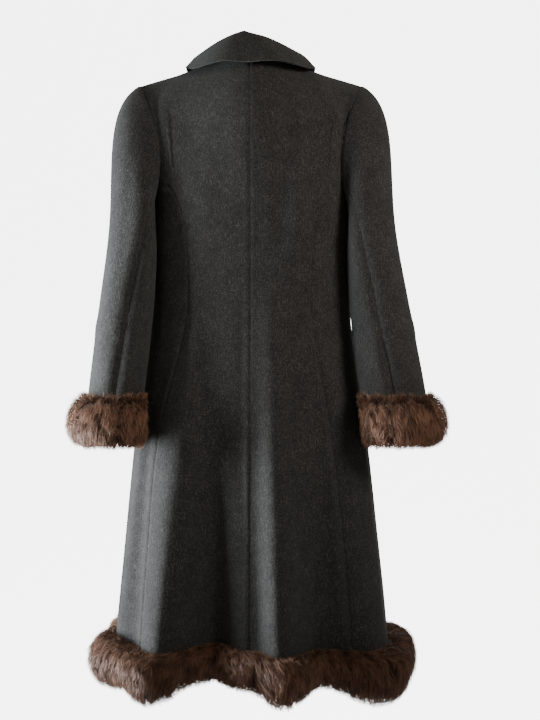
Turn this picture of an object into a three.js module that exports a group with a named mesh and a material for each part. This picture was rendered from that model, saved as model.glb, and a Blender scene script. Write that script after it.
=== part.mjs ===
// A long fitted coat in wool cloth with fur cuffs and a fur hem, filled out and hanging, in millimetres.
// +Z is up, the coat's front faces -Y and its back +Y. +X is the coat's own left.
// The origin is the middle of the neck opening, level with the back neck seam.
import * as THREE from "three";

// Driving sizes
const clothThickness = 2.5;
const seamGap = 0.3;
const hemLevel = -985;
const chestLevel = -290;
const sleeveRingLevel = -300;
const sleeveEndLevel = -606;
const roundness = 0.92;
const arrivalPull = 0.85;
const tangentStep = 10;

// Growth of the cone folds from where they start down to the hem
const foldPower = 1.25;
const foldMost = 1.2;

// Shoulder seams: the cloth faces the same way along the whole seam, front and back
const shoulderFacing = { x: 0.27, z: 0.96 };

// Lap of the fronts: how far the right one passes the centre, and how deep the left one lies under it
const lapTurn = 6;
const lapClearance = 1.5;
const lapEaseTurns = 4;

// Skirt and bodice sections: height, half width, and depth of the back and of the front
const bodySections = [
  { z: -985, halfWidth: 224, back: 128, front: 138 },
  { z: -850, halfWidth: 213, back: 126, front: 132 },
  { z: -700, halfWidth: 200, back: 122, front: 126 },
  { z: -580, halfWidth: 187, back: 112, front: 117 },
  { z: -437, halfWidth: 168, back: 92, front: 102 },
  { z: -360, halfWidth: 168, back: 94, front: 112 },
  { z: -290, halfWidth: 172, back: 101, front: 118 },
];

// Cone folds of the skirt: place round the ring, height of the crest or valley at the hem, and start
const skirtFolds = [
  { turn: 0, height: -14, start: -400 },
  { turn: 16, height: -66, start: -415 },
  { turn: 38, height: 22, start: -430 },
  { turn: 56, height: 1, start: -600 },
  { turn: 74, height: 10, start: -520 },
  { turn: 97, height: -12, start: -560 },
  { turn: 120, height: 20, start: -470 },
  { turn: 142, height: -30, start: -450 },
  { turn: 162, height: 8, start: -430 },
  { turn: 171, height: 0, start: -400 },
  { turn: 189, height: 0, start: -400 },
  { turn: 203, height: 16, start: -450 },
  { turn: 224, height: -34, start: -480 },
  { turn: 247, height: 22, start: -440 },
  { turn: 272, height: 8, start: -400 },
  { turn: 301, height: 17, start: -460 },
  { turn: 330, height: -26, start: -500 },
  { turn: 350, height: 28, start: -380 },
];

// Edges that the body panels run up to, with the place round the ring of each point, in degrees from the back
const backNeck = [
  { turn: 0, x: 0, y: 74, z: 0 }, { turn: 5, x: 16, y: 74, z: 0 }, { turn: 15, x: 52, y: 57, z: -3 },
  { turn: 24, x: 80, y: 8, z: -10 },
];
const shoulderSeam = [{ turn: 24, x: 80, y: 8, z: -10 }, { turn: 44, x: 187, y: 4, z: -40 }];
const armhole = [
  { turn: 44, x: 187, y: 4, z: -40 },
  { turn: 45.5, x: 184, y: 25, z: -47 },
  { turn: 48, x: 172, y: 46, z: -76 },
  { turn: 51.5, x: 155, y: 61, z: -124 },
  { turn: 55, x: 148, y: 66, z: -172 },
  { turn: 60, x: 150, y: 58, z: -214 },
  { turn: 71, x: 161, y: 36, z: -246 },
  { turn: 90, x: 171, y: 0, z: -258 },
  { turn: 109, x: 163, y: -38, z: -249 },
  { turn: 120, x: 151, y: -64, z: -220 },
  { turn: 125, x: 144, y: -74, z: -174 },
  { turn: 128.5, x: 149, y: -70, z: -122 },
  { turn: 132, x: 170, y: -44, z: -76 },
  { turn: 134.5, x: 184, y: -19, z: -47 },
  { turn: 136, x: 187, y: 4, z: -40 },
];
const frontNeck = [
  { turn: 156, x: 80, y: 8, z: -10 }, { turn: 163, x: 66, y: -48, z: -46 },
  { turn: 172, x: 30, y: -83, z: -80 },
  { turn: 177, x: 11, y: -88, z: -86 }, { turn: 180, x: 0, y: -88, z: -86 },
];
const turnAt = {
  neckBack: 24, tipBack: 44, princess: 60, side: 90, tipFront: 136, neckFront: 156, front: 180,
};

// Directions in which the cloth arrives at its upper edge
const arrivals = [
  { turn: 0, x: 0, y: -0.5, z: 0.86 },
  { turn: 14, x: -0.1, y: -0.7, z: 0.7 },
  { turn: 23, x: 0, y: -1, z: 0 },
  { turn: 34, x: 0.3, y: -0.95, z: -0.08 },
  { turn: 44, x: 0.58, y: -0.8, z: -0.16 },
  { turn: 48, x: 0.8, y: -0.55, z: 0.15 },
  { turn: 51.5, x: 0.64, y: -0.45, z: 0.62 },
  { turn: 55, x: 0.37, y: -0.25, z: 0.9 },
  { turn: 71, x: 0.1, y: 0, z: 1 },
  { turn: 109, x: 0.1, y: 0, z: 1 },
  { turn: 125, x: 0.37, y: 0.25, z: 0.9 },
  { turn: 128.5, x: 0.64, y: 0.45, z: 0.62 },
  { turn: 132, x: 0.8, y: 0.55, z: 0.15 },
  { turn: 136, x: 0.58, y: 0.8, z: -0.16 },
  { turn: 146, x: 0.3, y: 0.95, z: -0.08 },
  { turn: 157, x: 0, y: 1, z: 0 },
  { turn: 166, x: -0.1, y: 0.6, z: 0.75 },
  { turn: 180, x: 0, y: 0.3, z: 0.95 },
];

// Princess seams of the back: place round the ring at each height, and how they curve into the armhole
const princessChest = 35.5;
const princessLeft = [
  { z: -985, turn: 50 }, { z: -806, turn: 50 }, { z: -640, turn: 49 }, { z: -437, turn: 37 },
  { z: -290, turn: princessChest },
];
const princessRight = [
  { z: -985, turn: 46 }, { z: -806, turn: 45 }, { z: -640, turn: 42 }, { z: -437, turn: 34.5 },
  { z: -290, turn: princessChest },
];
const princessTop = [
  { rise: 0, turn: princessChest }, { rise: 0.15, turn: 41 }, { rise: 0.22, turn: 46 },
  { rise: 0.33, turn: 50.5 },
  { rise: 0.57, turn: 55.5 }, { rise: 1, turn: 60 },
];

// Sleeve sections: height, centre, half width and half depth
const sleeveLeft = [
  { z: -610, x: 219, y: 86, halfWidth: 46, halfDepth: 50 },
  { z: -573, x: 217, y: 81, halfWidth: 47, halfDepth: 51 },
  { z: -437, x: 204, y: 54, halfWidth: 49, halfDepth: 56 },
  { z: -300, x: 186, y: 42, halfWidth: 57, halfDepth: 61 },
];
const sleeveRight = [
  { z: -610, x: 238, y: 86, halfWidth: 50, halfDepth: 50 },
  { z: -573, x: 232, y: 81, halfWidth: 55, halfDepth: 51 },
  { z: -437, x: 213, y: 54, halfWidth: 54, halfDepth: 56 },
  { z: -300, x: 193, y: 42, halfWidth: 56, halfDepth: 61 },
];

// Directions in which the sleeve leaves the armhole, round from the shoulder over the back
const sleeveStarts = [
  { around: 0, x: 0.75, y: 0, z: -0.32 },
  { around: 0.17, x: 0.6, y: 0.35, z: -0.42 },
  { around: 0.33, x: 0.5, y: 0.35, z: -0.58 },
  { around: 0.5, x: 0.5, y: 0, z: -0.85 },
  { around: 0.67, x: 0.5, y: -0.3, z: -0.58 },
  { around: 0.83, x: 0.6, y: -0.35, z: -0.42 },
  { around: 1, x: 0.75, y: 0, z: -0.32 },
];
const sleeveClearances = [{ z: -610, gap: 12 }, { z: -500, gap: 4 }, { z: -300, gap: 1 }];
const sleeveSoftness = 14;
const armholeBottom = -252;
const underarmEase = 32;
const underarmClearance = 1.5;
const furClearance = 3;
const sleeveSeams = { armholeBack: 0.34, armholeFront: 0.68, endBack: 0.25, endFront: 0.75 };

// Fur sections: how far the fur stands out from the cloth, and its height over the edge of the cloth
const cuffSection = [
  { out: 1.3, up: 42 }, { out: 14, up: 48 }, { out: 26, up: 36 }, { out: 33, up: 10 }, { out: 32, up: -14 },
  { out: 20, up: -34 }, { out: 3, up: -40 }, { out: -10, up: -33 }, { out: -13, up: -14 },
  { out: -9, up: -1 },
  { out: 1.3, up: -0.6 },
];
const furAtCloth = 2; // rows of a section nearer than this to the cloth stay where they are
const lobeSwell = 0.15;
const lobeFold = 25;
const hemSection = [
  { out: 2.4, up: 30 }, { out: 20, up: 32 }, { out: 35, up: 20 }, { out: 44, up: -4 }, { out: 40, up: -30 },
  { out: 24, up: -49 }, { out: 2, up: -54 }, { out: -14, up: -42 }, { out: -18, up: -18 },
  { out: -12, up: -2.6 },
  { out: 2.4, up: -1.5 },
];

// Heights of the hem's fur over and under the cloth's edge round the ring, as shares of the section's own
const hemFurTops = [
  { turn: 0, share: 0.6 }, { turn: 28, share: 0.45 }, { turn: 50, share: 0.5 }, { turn: 75, share: 0.95 },
  { turn: 180, share: 0.8 }, { turn: 255, share: 0.35 }, { turn: 320, share: 0.35 }, { turn: 360, share: 0.6 },
];
const hemFurLows = [
  { turn: 0, share: 1 }, { turn: 38, share: 1.1 }, { turn: 75, share: 1.05 }, { turn: 250, share: 1 },
  { turn: 288, share: 1.3 }, { turn: 308, share: 1.35 }, { turn: 332, share: 1.05 }, { turn: 360, share: 1 },
];

// How far a cuff's fur stands out round the sleeve, as a share: it is pressed flat beside the body
const cuffPress = [
  { around: 0, share: 1 }, { around: 0.3, share: 0.95 }, { around: 0.5, share: 0.25 },
  { around: 0.7, share: 0.95 },
  { around: 1, share: 1 },
];

// Collar from the centre back round to the centre front: neck seam, roll and edge of the fall
const collarSeam = [
  { around: 0, x: 0, y: 74, z: 0 }, { around: 0.2, x: 33, y: 69, z: -1 },
  { around: 0.4, x: 68, y: 38, z: -6 },
  { around: 0.5, x: 80, y: 8, z: -10 }, { around: 0.7, x: 66, y: -48, z: -46 },
  { around: 0.87, x: 30, y: -83, z: -78 },
  { around: 1, x: 3, y: -88, z: -86 },
];
const collarRoll = [
  { around: 0, x: 0, y: 70, z: 31 }, { around: 0.2, x: 34, y: 66, z: 21 },
  { around: 0.4, x: 72, y: 38, z: 8 },
  { around: 0.5, x: 86, y: 8, z: 3 }, { around: 0.7, x: 72, y: -54, z: -30 },
  { around: 0.87, x: 34, y: -93, z: -66 },
  { around: 1, x: 3, y: -98, z: -73 },
];
const collarEdge = [
  { around: 0, x: 0, y: 100, z: -27 }, { around: 0.2, x: 44, y: 96, z: -25 },
  { around: 0.4, x: 95, y: 58, z: -28 },
  { around: 0.5, x: 108, y: 10, z: -14 }, { around: 0.7, x: 92, y: -76, z: -48 },
  { around: 0.87, x: 56, y: -112, z: -96 },
  { around: 1, x: 16, y: -116, z: -118 },
];
const collarPeakShift = 0.07;
const collarClearance = 0.8;
const collarRollWidth = 26;
const collarColumns = 32;
const collarRows = 8;

// Front buttons: heights, size, half profile from the middle of the back round to the middle of the face,
// and the points of the cloth under a button's rim, in degrees and levels
const buttonHeights = [-190, -300, -410, -520];
const buttonRadius = 14;
const buttonThickness = 5;
const buttonSides = 16;
const frontNeckLevel = -86;
const buttonProfile = [
  { radius: 0, up: -2.5 }, { radius: 13, up: -2.5 }, { radius: buttonRadius, up: -1.5 },
  { radius: buttonRadius, up: 1 }, { radius: 12, up: 2.5 }, { radius: 10, up: 1.5 }, { radius: 0, up: 1.5 },
];
const underButton = [
  { turn: 7, up: 0 }, { turn: -7, up: 0 }, { turn: 0, up: 0.07 }, { turn: 0, up: -0.07 },
  { turn: 5, up: 0.05 }, { turn: -5, up: 0.05 }, { turn: 5, up: -0.05 }, { turn: -5, up: -0.05 },
];
const skirtLevelShare = 0.3;

// Rows of the sheets, from the hem up to the chest and from the chest to the upper edge
const skirtRows = 16;
const bodiceRows = 8;

// Columns of the panels between their seams
const backColumns = 15;
const sideColumns = 6;
const frontColumns = 18;
const topColumns = 14;
const underColumns = 10;

const woolMaterial = new THREE.MeshStandardMaterial({ color: 0x3a3835, roughness: 0.95, metalness: 0 });
const furMaterial = new THREE.MeshStandardMaterial({ color: 0x6b4a38, roughness: 0.9, metalness: 0 });
const buttonMaterial = new THREE.MeshStandardMaterial({ color: 0x1d1b1a, roughness: 0.45, metalness: 0 });

const group = new THREE.Group();

function mix(first, second, share) {
  return first + (second - first) * share;
}

function clamp(value, low, high) {
  return Math.min(high, Math.max(low, value));
}

function radians(degrees) {
  return (degrees * Math.PI) / 180;
}

// Smooth value of one column of a table whose rows are in order of the key column
function fromTable(table, key, column, value) {
  const last = table.length - 1;
  let row = 0;
  while (row < last - 1 && value > table[row + 1][key]) row += 1;
  const low = table[row];
  const high = table[row + 1];
  const before = table[Math.max(row - 1, 0)];
  const after = table[Math.min(row + 2, last)];
  const width = high[key] - low[key];
  const share = clamp((value - low[key]) / width, 0, 1);
  const slopeLow = ((high[column] - before[column]) / (high[key] - before[key])) * width;
  const slopeHigh = ((after[column] - low[column]) / (after[key] - low[key])) * width;
  return hermite(low[column], slopeLow, high[column], slopeHigh, share);
}

function hermite(start, startSlope, end, endSlope, share) {
  const s2 = share * share;
  const s3 = s2 * share;
  const fromStart = start * (2 * s3 - 3 * s2 + 1) + startSlope * (s3 - 2 * s2 + share);
  return fromStart + end * (3 * s2 - 2 * s3) + endSlope * (s3 - s2);
}

function hermitePoint(start, leaving, end, arriving, share) {
  return new THREE.Vector3(
    hermite(start.x, leaving.x, end.x, arriving.x, share),
    hermite(start.y, leaving.y, end.y, arriving.y, share),
    hermite(start.z, leaving.z, end.z, arriving.z, share),
  );
}

function pointFrom(table, key, value) {
  return new THREE.Vector3(
    fromTable(table, key, "x", value),
    fromTable(table, key, "y", value),
    fromTable(table, key, "z", value),
  );
}

// Point of the left half, or the one across from it on the right half. Side is 1 or -1.
function mirrored(point, side) {
  return new THREE.Vector3(point.x * side, point.y, point.z);
}

// Height of the folds over the plain ring, at a place round the ring and a height
function foldHeight(turn, z) {
  const place = ((turn % 360) + 360) % 360;
  const count = skirtFolds.length;
  let row = count - 1;
  while (row > 0 && skirtFolds[row].turn > place) row -= 1;
  const low = skirtFolds[row];
  const high = skirtFolds[(row + 1) % count];
  const width = (high.turn - low.turn + 360) % 360;
  const share = (place - low.turn) / width;
  const ease = share * share * (3 - 2 * share);
  return mix(grownFold(low, z), grownFold(high, z), ease);
}

function grownFold(fold, z) {
  const growth = clamp((fold.start - z) / (fold.start - hemLevel), 0, foldMost);
  return fold.height * growth ** foldPower;
}

// Point of the body ring, and of the skirt with its folds
function ringPoint(turn, z) {
  const halfWidth = fromTable(bodySections, "z", "halfWidth", z);
  const angle = radians(turn);
  const across = Math.sin(angle);
  const along = Math.cos(angle);
  const depth = fromTable(bodySections, "z", along > 0 ? "back" : "front", z);
  const x = halfWidth * Math.sign(across) * Math.abs(across) ** roundness;
  const y = depth * Math.sign(along) * Math.abs(along) ** roundness;
  const outward = new THREE.Vector2(across / halfWidth, along / depth).normalize();
  const fold = foldHeight(turn, z);
  return new THREE.Vector3(x + outward.x * fold, y + outward.y * fold, z);
}

// Upper edge of the panels on the +X half, for a place round the ring from 0 to 180 degrees
function upperEdge(turn) {
  if (turn <= turnAt.neckBack) return pointFrom(backNeck, "turn", turn);
  if (turn <= turnAt.tipBack) return pointFrom(shoulderSeam, "turn", turn);
  if (turn <= turnAt.tipFront) return pointFrom(armhole, "turn", turn);
  if (turn <= turnAt.neckFront) {
    const share = (turnAt.neckFront - turn) / (turnAt.neckFront - turnAt.tipFront);
    return pointFrom(shoulderSeam, "turn", mix(turnAt.neckBack, turnAt.tipBack, share));
  }
  return pointFrom(frontNeck, "turn", turn);
}

// Point of the body sheet. Level runs from 0 at the hem to 1 at the chest and 2 at the upper edge.
function bodyPoint(turn, level) {
  if (level <= 1) return ringPoint(turn, mix(hemLevel, chestLevel, level));
  const onRight = turn > 180 || turn < 0;
  const place = turn > 180 ? 360 - turn : Math.abs(turn);
  const side = onRight ? -1 : 1;
  const start = ringPoint(place, chestLevel);
  const below = ringPoint(place, chestLevel - tangentStep);
  const end = upperEdge(place);
  const length = start.distanceTo(end);
  const leaving = start.clone().sub(below).normalize().multiplyScalar(length);
  const arriving = pointFrom(arrivals, "turn", place).normalize().multiplyScalar(length * arrivalPull);
  return mirrored(hermitePoint(start, leaving, end, arriving, level - 1), side);
}

function bodyNormal(turn, level) {
  const place = turn < 0 ? -turn : turn > 180 ? 360 - turn : turn;
  const onBackSeam = place >= turnAt.neckBack && place <= turnAt.tipBack;
  const onFrontSeam = place >= turnAt.tipFront && place <= turnAt.neckFront;
  if (level === 2 && (onBackSeam || onFrontSeam)) {
    const side = turn < 0 || turn > 180 ? -1 : 1;
    return new THREE.Vector3(shoulderFacing.x * side, 0, shoulderFacing.z).normalize();
  }
  const aside = 0.6; // degrees
  const up = 0.02; // levels
  const high = Math.min(level + up, 2);
  const around = bodyPoint(turn + aside, level).sub(bodyPoint(turn - aside, level));
  const rising = bodyPoint(turn, high).sub(bodyPoint(turn, high - 2 * up));
  return rising.cross(around).normalize();
}

// A wall of cloth between two grids of points, closed all round its edges
function wall(outer, inner) {
  const rows = outer.length;
  const columns = outer[0].length;
  const points = [...outer.flat(), ...inner.flat()];
  const offset = rows * columns;
  const faces = [];
  const quad = (a, b, c, d) => faces.push([a, b, c], [a, c, d]);
  for (let row = 0; row < rows - 1; row += 1) {
    for (let column = 0; column < columns - 1; column += 1) {
      const a = row * columns + column;
      quad(a, a + 1, a + columns + 1, a + columns);
      quad(offset + a, offset + a + columns, offset + a + columns + 1, offset + a + 1);
    }
  }
  for (let column = 0; column < columns - 1; column += 1) {
    const top = (rows - 1) * columns + column;
    quad(column + 1, column, offset + column, offset + column + 1);
    quad(top, top + 1, offset + top + 1, offset + top);
  }
  for (let row = 0; row < rows - 1; row += 1) {
    const left = row * columns;
    const right = left + columns - 1;
    quad(left, left + columns, offset + left + columns, offset + left);
    quad(right, offset + right, offset + right + columns, right + columns);
  }
  return geometryOf(points, faces);
}

// Geometry of closed faces, turned so that they point out
function geometryOf(points, faces) {
  let volume = 0;
  for (const [a, b, c] of faces) {
    volume += points[a].dot(new THREE.Vector3().crossVectors(points[b], points[c]));
  }
  const geometry = new THREE.BufferGeometry();
  const positions = new Float32Array(points.flatMap((point) => [point.x, point.y, point.z]));
  const index = faces.flatMap(([a, b, c]) => (volume < 0 ? [a, c, b] : [a, b, c]));
  geometry.setAttribute("position", new THREE.BufferAttribute(positions, 3));
  geometry.setIndex(index);
  geometry.computeVertexNormals();
  return geometry;
}

function addPiece(name, geometry, material) {
  const mesh = new THREE.Mesh(geometry, material);
  mesh.name = name;
  group.add(mesh);
}

// Levels of the rows, shared by all panels so that their seam edges match
function bodyLevels() {
  const levels = [];
  for (let row = 0; row < skirtRows; row += 1) levels.push(row / skirtRows);
  for (let row = 0; row <= bodiceRows; row += 1) levels.push(1 + row / bodiceRows);
  return levels;
}

// Point of an edge moved into its panel, square to the edge, for the gap at a seam
function insetFrom(point, before, after, normal, inside) {
  const square = after.clone().sub(before).cross(normal).normalize();
  const toward = inside.clone().sub(point).dot(square) > 0 ? 1 : -1;
  return square.multiplyScalar(toward * seamGap * 0.5);
}

// Body panel: turnOf(share, level) gives the place round the ring of each column
function addPanel(name, columns, turnOf, sink) {
  const outer = [];
  const inner = [];
  const near = 0.01;
  const at = (share, level) => bodyPoint(turnOf(share, level), level);
  for (const level of bodyLevels()) {
    const outerRow = [];
    const innerRow = [];
    for (let column = 0; column <= columns; column += 1) {
      const share = column / columns;
      const turn = turnOf(share, level);
      const normal = bodyNormal(turn, level);
      const point = at(share, level);
      const seat = point.clone();
      if (column === 0 || column === columns) {
        const before = at(share, Math.max(level - near, 0));
        const after = at(share, Math.min(level + near, 2));
        const inside = at(column === 0 ? near : 1 - near, level);
        point.add(insetFrom(seat, before, after, normal, inside));
      }
      if (level === 2) {
        const before = at(Math.max(share - near, 0), level);
        const after = at(Math.min(share + near, 1), level);
        point.add(insetFrom(seat, before, after, normal, at(share, level - near)));
      }
      point.addScaledVector(normal, -sink(turn));
      outerRow.push(point);
      innerRow.push(point.clone().addScaledVector(normal, -clothThickness));
    }
    outer.push(outerRow);
    inner.push(innerRow);
  }
  addPiece(name, wall(outer, inner), woolMaterial);
}

function princessTurn(table, level) {
  if (level <= 1) return fromTable(table, "z", "turn", mix(hemLevel, chestLevel, level));
  return fromTable(princessTop, "rise", "turn", level - 1);
}

// Places of a panel's columns at the upper edge, so that its corners fall on columns
function edgeTurn(share, stops) {
  const place = share * (stops.length - 1);
  const stop = Math.min(Math.floor(place), stops.length - 2);
  return mix(stops[stop], stops[stop + 1], place - stop);
}

const backStops = [
  0, 8, 16, turnAt.neckBack, 34, turnAt.tipBack, 45.5, 48, 50, 51.5, 53.5, 55, 57.5, turnAt.princess,
];
const frontStops = [
  turnAt.side, 100, 109, 115, 120, 123, 125, 127, 128.5, 130.5, 132, 134.5, turnAt.tipFront, 142, 149,
  turnAt.neckFront, 163, 172, turnAt.front,
];

function backTurn(table, share, level) {
  const plain = princessTurn(table, level) * share;
  if (level <= 1) return plain;
  const settled = (princessTurn(table, level) - princessChest) / (turnAt.princess - princessChest);
  return mix(princessChest * share, edgeTurn(share, backStops), settled);
}

function sideTurn(table, share, level) {
  return mix(princessTurn(table, level), turnAt.side, share);
}

function frontTurn(share, level, lap) {
  const plain = mix(turnAt.side, turnAt.front, share);
  const rise = clamp(level - 1, 0, 1);
  return mix(plain, edgeTurn(share, frontStops), rise) + lap * share ** 6;
}

const flush = () => 0;

// The left front passes under the right one at the centre front
function lapSink(turn) {
  const start = turnAt.front - 2 * lapTurn - 3;
  return (clothThickness + lapClearance) * clamp((turn - start) / lapEaseTurns, 0, 1);
}

addPanel("back_left", backColumns, (share, level) => backTurn(princessLeft, share, level), flush);
addPanel("back_right", backColumns, (share, level) => -backTurn(princessRight, share, level), flush);
addPanel("side_back_left", sideColumns, (share, level) => sideTurn(princessLeft, share, level), flush);
addPanel("side_back_right", sideColumns, (share, level) => -sideTurn(princessRight, share, level), flush);
addPanel("front_left", frontColumns, (share, level) => frontTurn(share, level, 0), lapSink);
addPanel("front_right", frontColumns, (share, level) => 360 - frontTurn(share, level, lapTurn), flush);

// Point on the armhole, for a share of the way round it from the shoulder over the back
function armholePoint(around) {
  const place = (around - Math.floor(around)) * (armhole.length - 1);
  const row = Math.floor(place);
  return pointFrom(armhole, "turn", mix(armhole[row].turn, armhole[row + 1].turn, place - row));
}

// How far a point lies from the body's axis, as a share of the distance to the body with a gap round it
function reachFromBody(point, side, gap) {
  const { x, y, z } = point;
  const angle = (Math.atan2(x, y) * 180) / Math.PI;
  const margin = gap + Math.max(foldHeight(angle * side, z), 0);
  const halfWidth = fromTable(bodySections, "z", "halfWidth", z) + margin;
  const depth = fromTable(bodySections, "z", y > 0 ? "back" : "front", z) + margin;
  const power = 2 / roundness;
  return ((Math.abs(x) / halfWidth) ** power + (Math.abs(y) / depth) ** power) ** (1 / power);
}

// Point eased out of the body where a sleeve would pass into it. Side is 1 for the left and -1 for the right.
function clearOfBody(point, side, gap) {
  const reach = reachFromBody(point, side, gap);
  const scale = (1 + reach ** -sleeveSoftness) ** (1 / sleeveSoftness);
  return new THREE.Vector3(point.x * scale, point.y * scale, point.z);
}

function sleeveRing(stations, side, around, z) {
  const angle = 2 * Math.PI * around;
  const x = fromTable(stations, "z", "x", z) + fromTable(stations, "z", "halfWidth", z) * Math.cos(angle);
  const y = fromTable(stations, "z", "y", z) + fromTable(stations, "z", "halfDepth", z) * Math.sin(angle);
  return clearOfBody(new THREE.Vector3(x, y, z), side, fromTable(sleeveClearances, "z", "gap", z));
}

// Point of a sleeve on the +X side. Level runs from 0 at the armhole to 1 below it and 2 at the sleeve's end.
function sleevePoint(stations, side, around, level) {
  if (level >= 1) return sleeveRing(stations, side, around, mix(sleeveRingLevel, sleeveEndLevel, level - 1));
  const share = around - Math.floor(around);
  const start = armholePoint(around);
  const end = sleeveRing(stations, side, around, sleeveRingLevel);
  const below = sleeveRing(stations, side, around, sleeveRingLevel - tangentStep);
  const length = start.distanceTo(end);
  const leaving = pointFrom(sleeveStarts, "around", share).multiplyScalar(length);
  const arriving = below.sub(end).normalize().multiplyScalar(length);
  const point = hermitePoint(start, leaving, end, arriving, level);
  const lowered = clamp((armholeBottom - point.z) / underarmEase, 0, 1);
  return point.lerp(clearOfBody(point, side, underarmClearance), lowered);
}

const sleeveLevels = [0.006, 0.03, 0.1, 0.2, 0.32, 0.45, 0.6, 0.8, 1, 1.15, 1.3, 1.45, 1.6, 1.75, 1.88, 2];

// Sleeve piece between two seams, whose places are given at the armhole and at the sleeve's end
function addSleevePiece(name, stations, side, columns, from, to) {
  const outer = [];
  const inner = [];
  const near = 0.004;
  const at = (share, level) => {
    const low = mix(from.armhole, from.end, level / 2);
    const high = mix(to.armhole, to.end, level / 2);
    return sleevePoint(stations, side, mix(low, high, share), level);
  };
  for (const level of sleeveLevels) {
    const outerRow = [];
    const innerRow = [];
    for (let column = 0; column <= columns; column += 1) {
      const share = column / columns;
      const point = at(share, level);
      const along = at(share + near, level).sub(at(share - near, level));
      const above = at(share, Math.max(level - near, 0));
      const below = at(share, Math.min(level + near, 2));
      const normal = along.cross(below.clone().sub(above)).normalize();
      if (column === 0) point.add(insetFrom(point, above, below, normal, at(near, level)));
      if (column === columns) point.add(insetFrom(point, above, below, normal, at(1 - near, level)));
      const inside = point.clone().addScaledVector(normal, clothThickness);
      outerRow.push(mirrored(point, side));
      innerRow.push(mirrored(inside, side));
    }
    outer.push(outerRow);
    inner.push(innerRow);
  }
  addPiece(name, wall(outer, inner), woolMaterial);
}

// A solid through sections that are lists of points. It closes on itself, or else its ends are filled in.
function sweep(sections, outline, closed) {
  const count = sections.length;
  const size = outline.length;
  const faces = [];
  const last = closed ? count : count - 1;
  for (let section = 0; section < last; section += 1) {
    const next = (section + 1) % count;
    for (let side = 0; side < size; side += 1) {
      const beside = (side + 1) % size;
      const a = section * size + side;
      const b = next * size + side;
      const c = next * size + beside;
      const d = section * size + beside;
      faces.push([a, b, c], [a, c, d]);
    }
  }
  if (!closed) {
    const contour = outline.map(({ out, up }) => new THREE.Vector2(out, up));
    const turned = THREE.ShapeUtils.isClockWise(contour);
    const end = (count - 1) * size;
    for (const [a, b, c] of THREE.ShapeUtils.triangulateShape(contour, [])) {
      faces.push(turned ? [a, c, b] : [a, b, c]);
      faces.push(turned ? [end + a, end + b, end + c] : [end + a, end + c, end + b]);
    }
  }
  return geometryOf(sections.flat(), faces);
}

// Fur band round the end of a sleeve. It is pressed thinner where it lies against the body.
function addCuff(name, stations, side) {
  const sections = [];
  const { endBack, endFront } = sleeveSeams;
  for (let column = 0; column < topColumns + underColumns; column += 1) {
    const onTop = column < topColumns;
    const top = mix(endFront - 1, endBack, column / topColumns);
    const under = mix(endBack, endFront, (column - topColumns) / underColumns);
    const around = onTop ? top : under;
    const angle = 2 * Math.PI * around;
    const outward = new THREE.Vector3(Math.cos(angle), Math.sin(angle), 0);
    const press = fromTable(cuffPress, "around", "share", around - Math.floor(around));
    const section = cuffSection.map(({ out, up }) => {
      const z = sleeveEndLevel + up;
      const seat = sleeveRing(stations, side, around, Math.max(z, sleeveEndLevel));
      seat.z = z;
      let reach = out > furAtCloth ? out * press : out;
      while (reach > furAtCloth && insideBody(seat.clone().addScaledVector(outward, reach), side)) reach -= 1;
      return mirrored(seat.addScaledVector(outward, reach), side);
    });
    sections.push(section);
  }
  addPiece(name, sweep(sections, cuffSection, true), furMaterial);
}

function insideBody(point, side) {
  return reachFromBody(point, side, furClearance) < 1;
}

// Fur band outside the hem. It follows the folds and is open at the centre front.
function addHemFur() {
  const turns = [];
  const columnsOf = (columns, turnOf) => {
    for (let column = 0; column < columns; column += 1) turns.push(turnOf(column / columns));
  };
  const left = princessTurn(princessLeft, 0);
  const right = princessTurn(princessRight, 0);
  const frontEnd = turnAt.front - lapTurn - 1;
  columnsOf(frontColumns, (share) => 360 - frontTurn(1 - share, 0, lapTurn));
  columnsOf(sideColumns, (share) => 360 - mix(turnAt.side, right, share));
  columnsOf(backColumns, (share) => 360 - right * (1 - share));
  columnsOf(backColumns, (share) => 360 + left * share);
  columnsOf(sideColumns, (share) => 360 + mix(left, turnAt.side, share));
  columnsOf(frontColumns, (share) => 360 + frontTurn(share, 0, 0));
  const kept = turns.filter((turn) => turn < 360 + frontEnd - 1);
  kept.push(360 + frontEnd);
  const sections = kept.map((turn) => {
    const lobe = 1 + lobeSwell * clamp(foldHeight(turn, hemLevel) / lobeFold, -1, 1);
    const top = fromTable(hemFurTops, "turn", "share", turn % 360);
    const low = lobe * fromTable(hemFurLows, "turn", "share", turn % 360);
    const plain = ringDirection(turn);
    return hemSection.map(({ out, up }) => {
      const z = hemLevel + up * (up > 0 ? top : low);
      const seat = ringPoint(turn, Math.max(z, hemLevel));
      seat.z = z;
      return seat.addScaledVector(plain, out > furAtCloth ? out * lobe : out);
    });
  });
  addPiece("fur_hem", sweep(sections, hemSection, false), furMaterial);
}

// Direction square to the plain hem ring, away from the body
function ringDirection(turn) {
  const angle = radians(turn);
  const { halfWidth, back, front } = bodySections[0];
  const depth = Math.cos(angle) > 0 ? back : front;
  return new THREE.Vector3(Math.sin(angle) / halfWidth, Math.cos(angle) / depth, 0).normalize();
}

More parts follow.
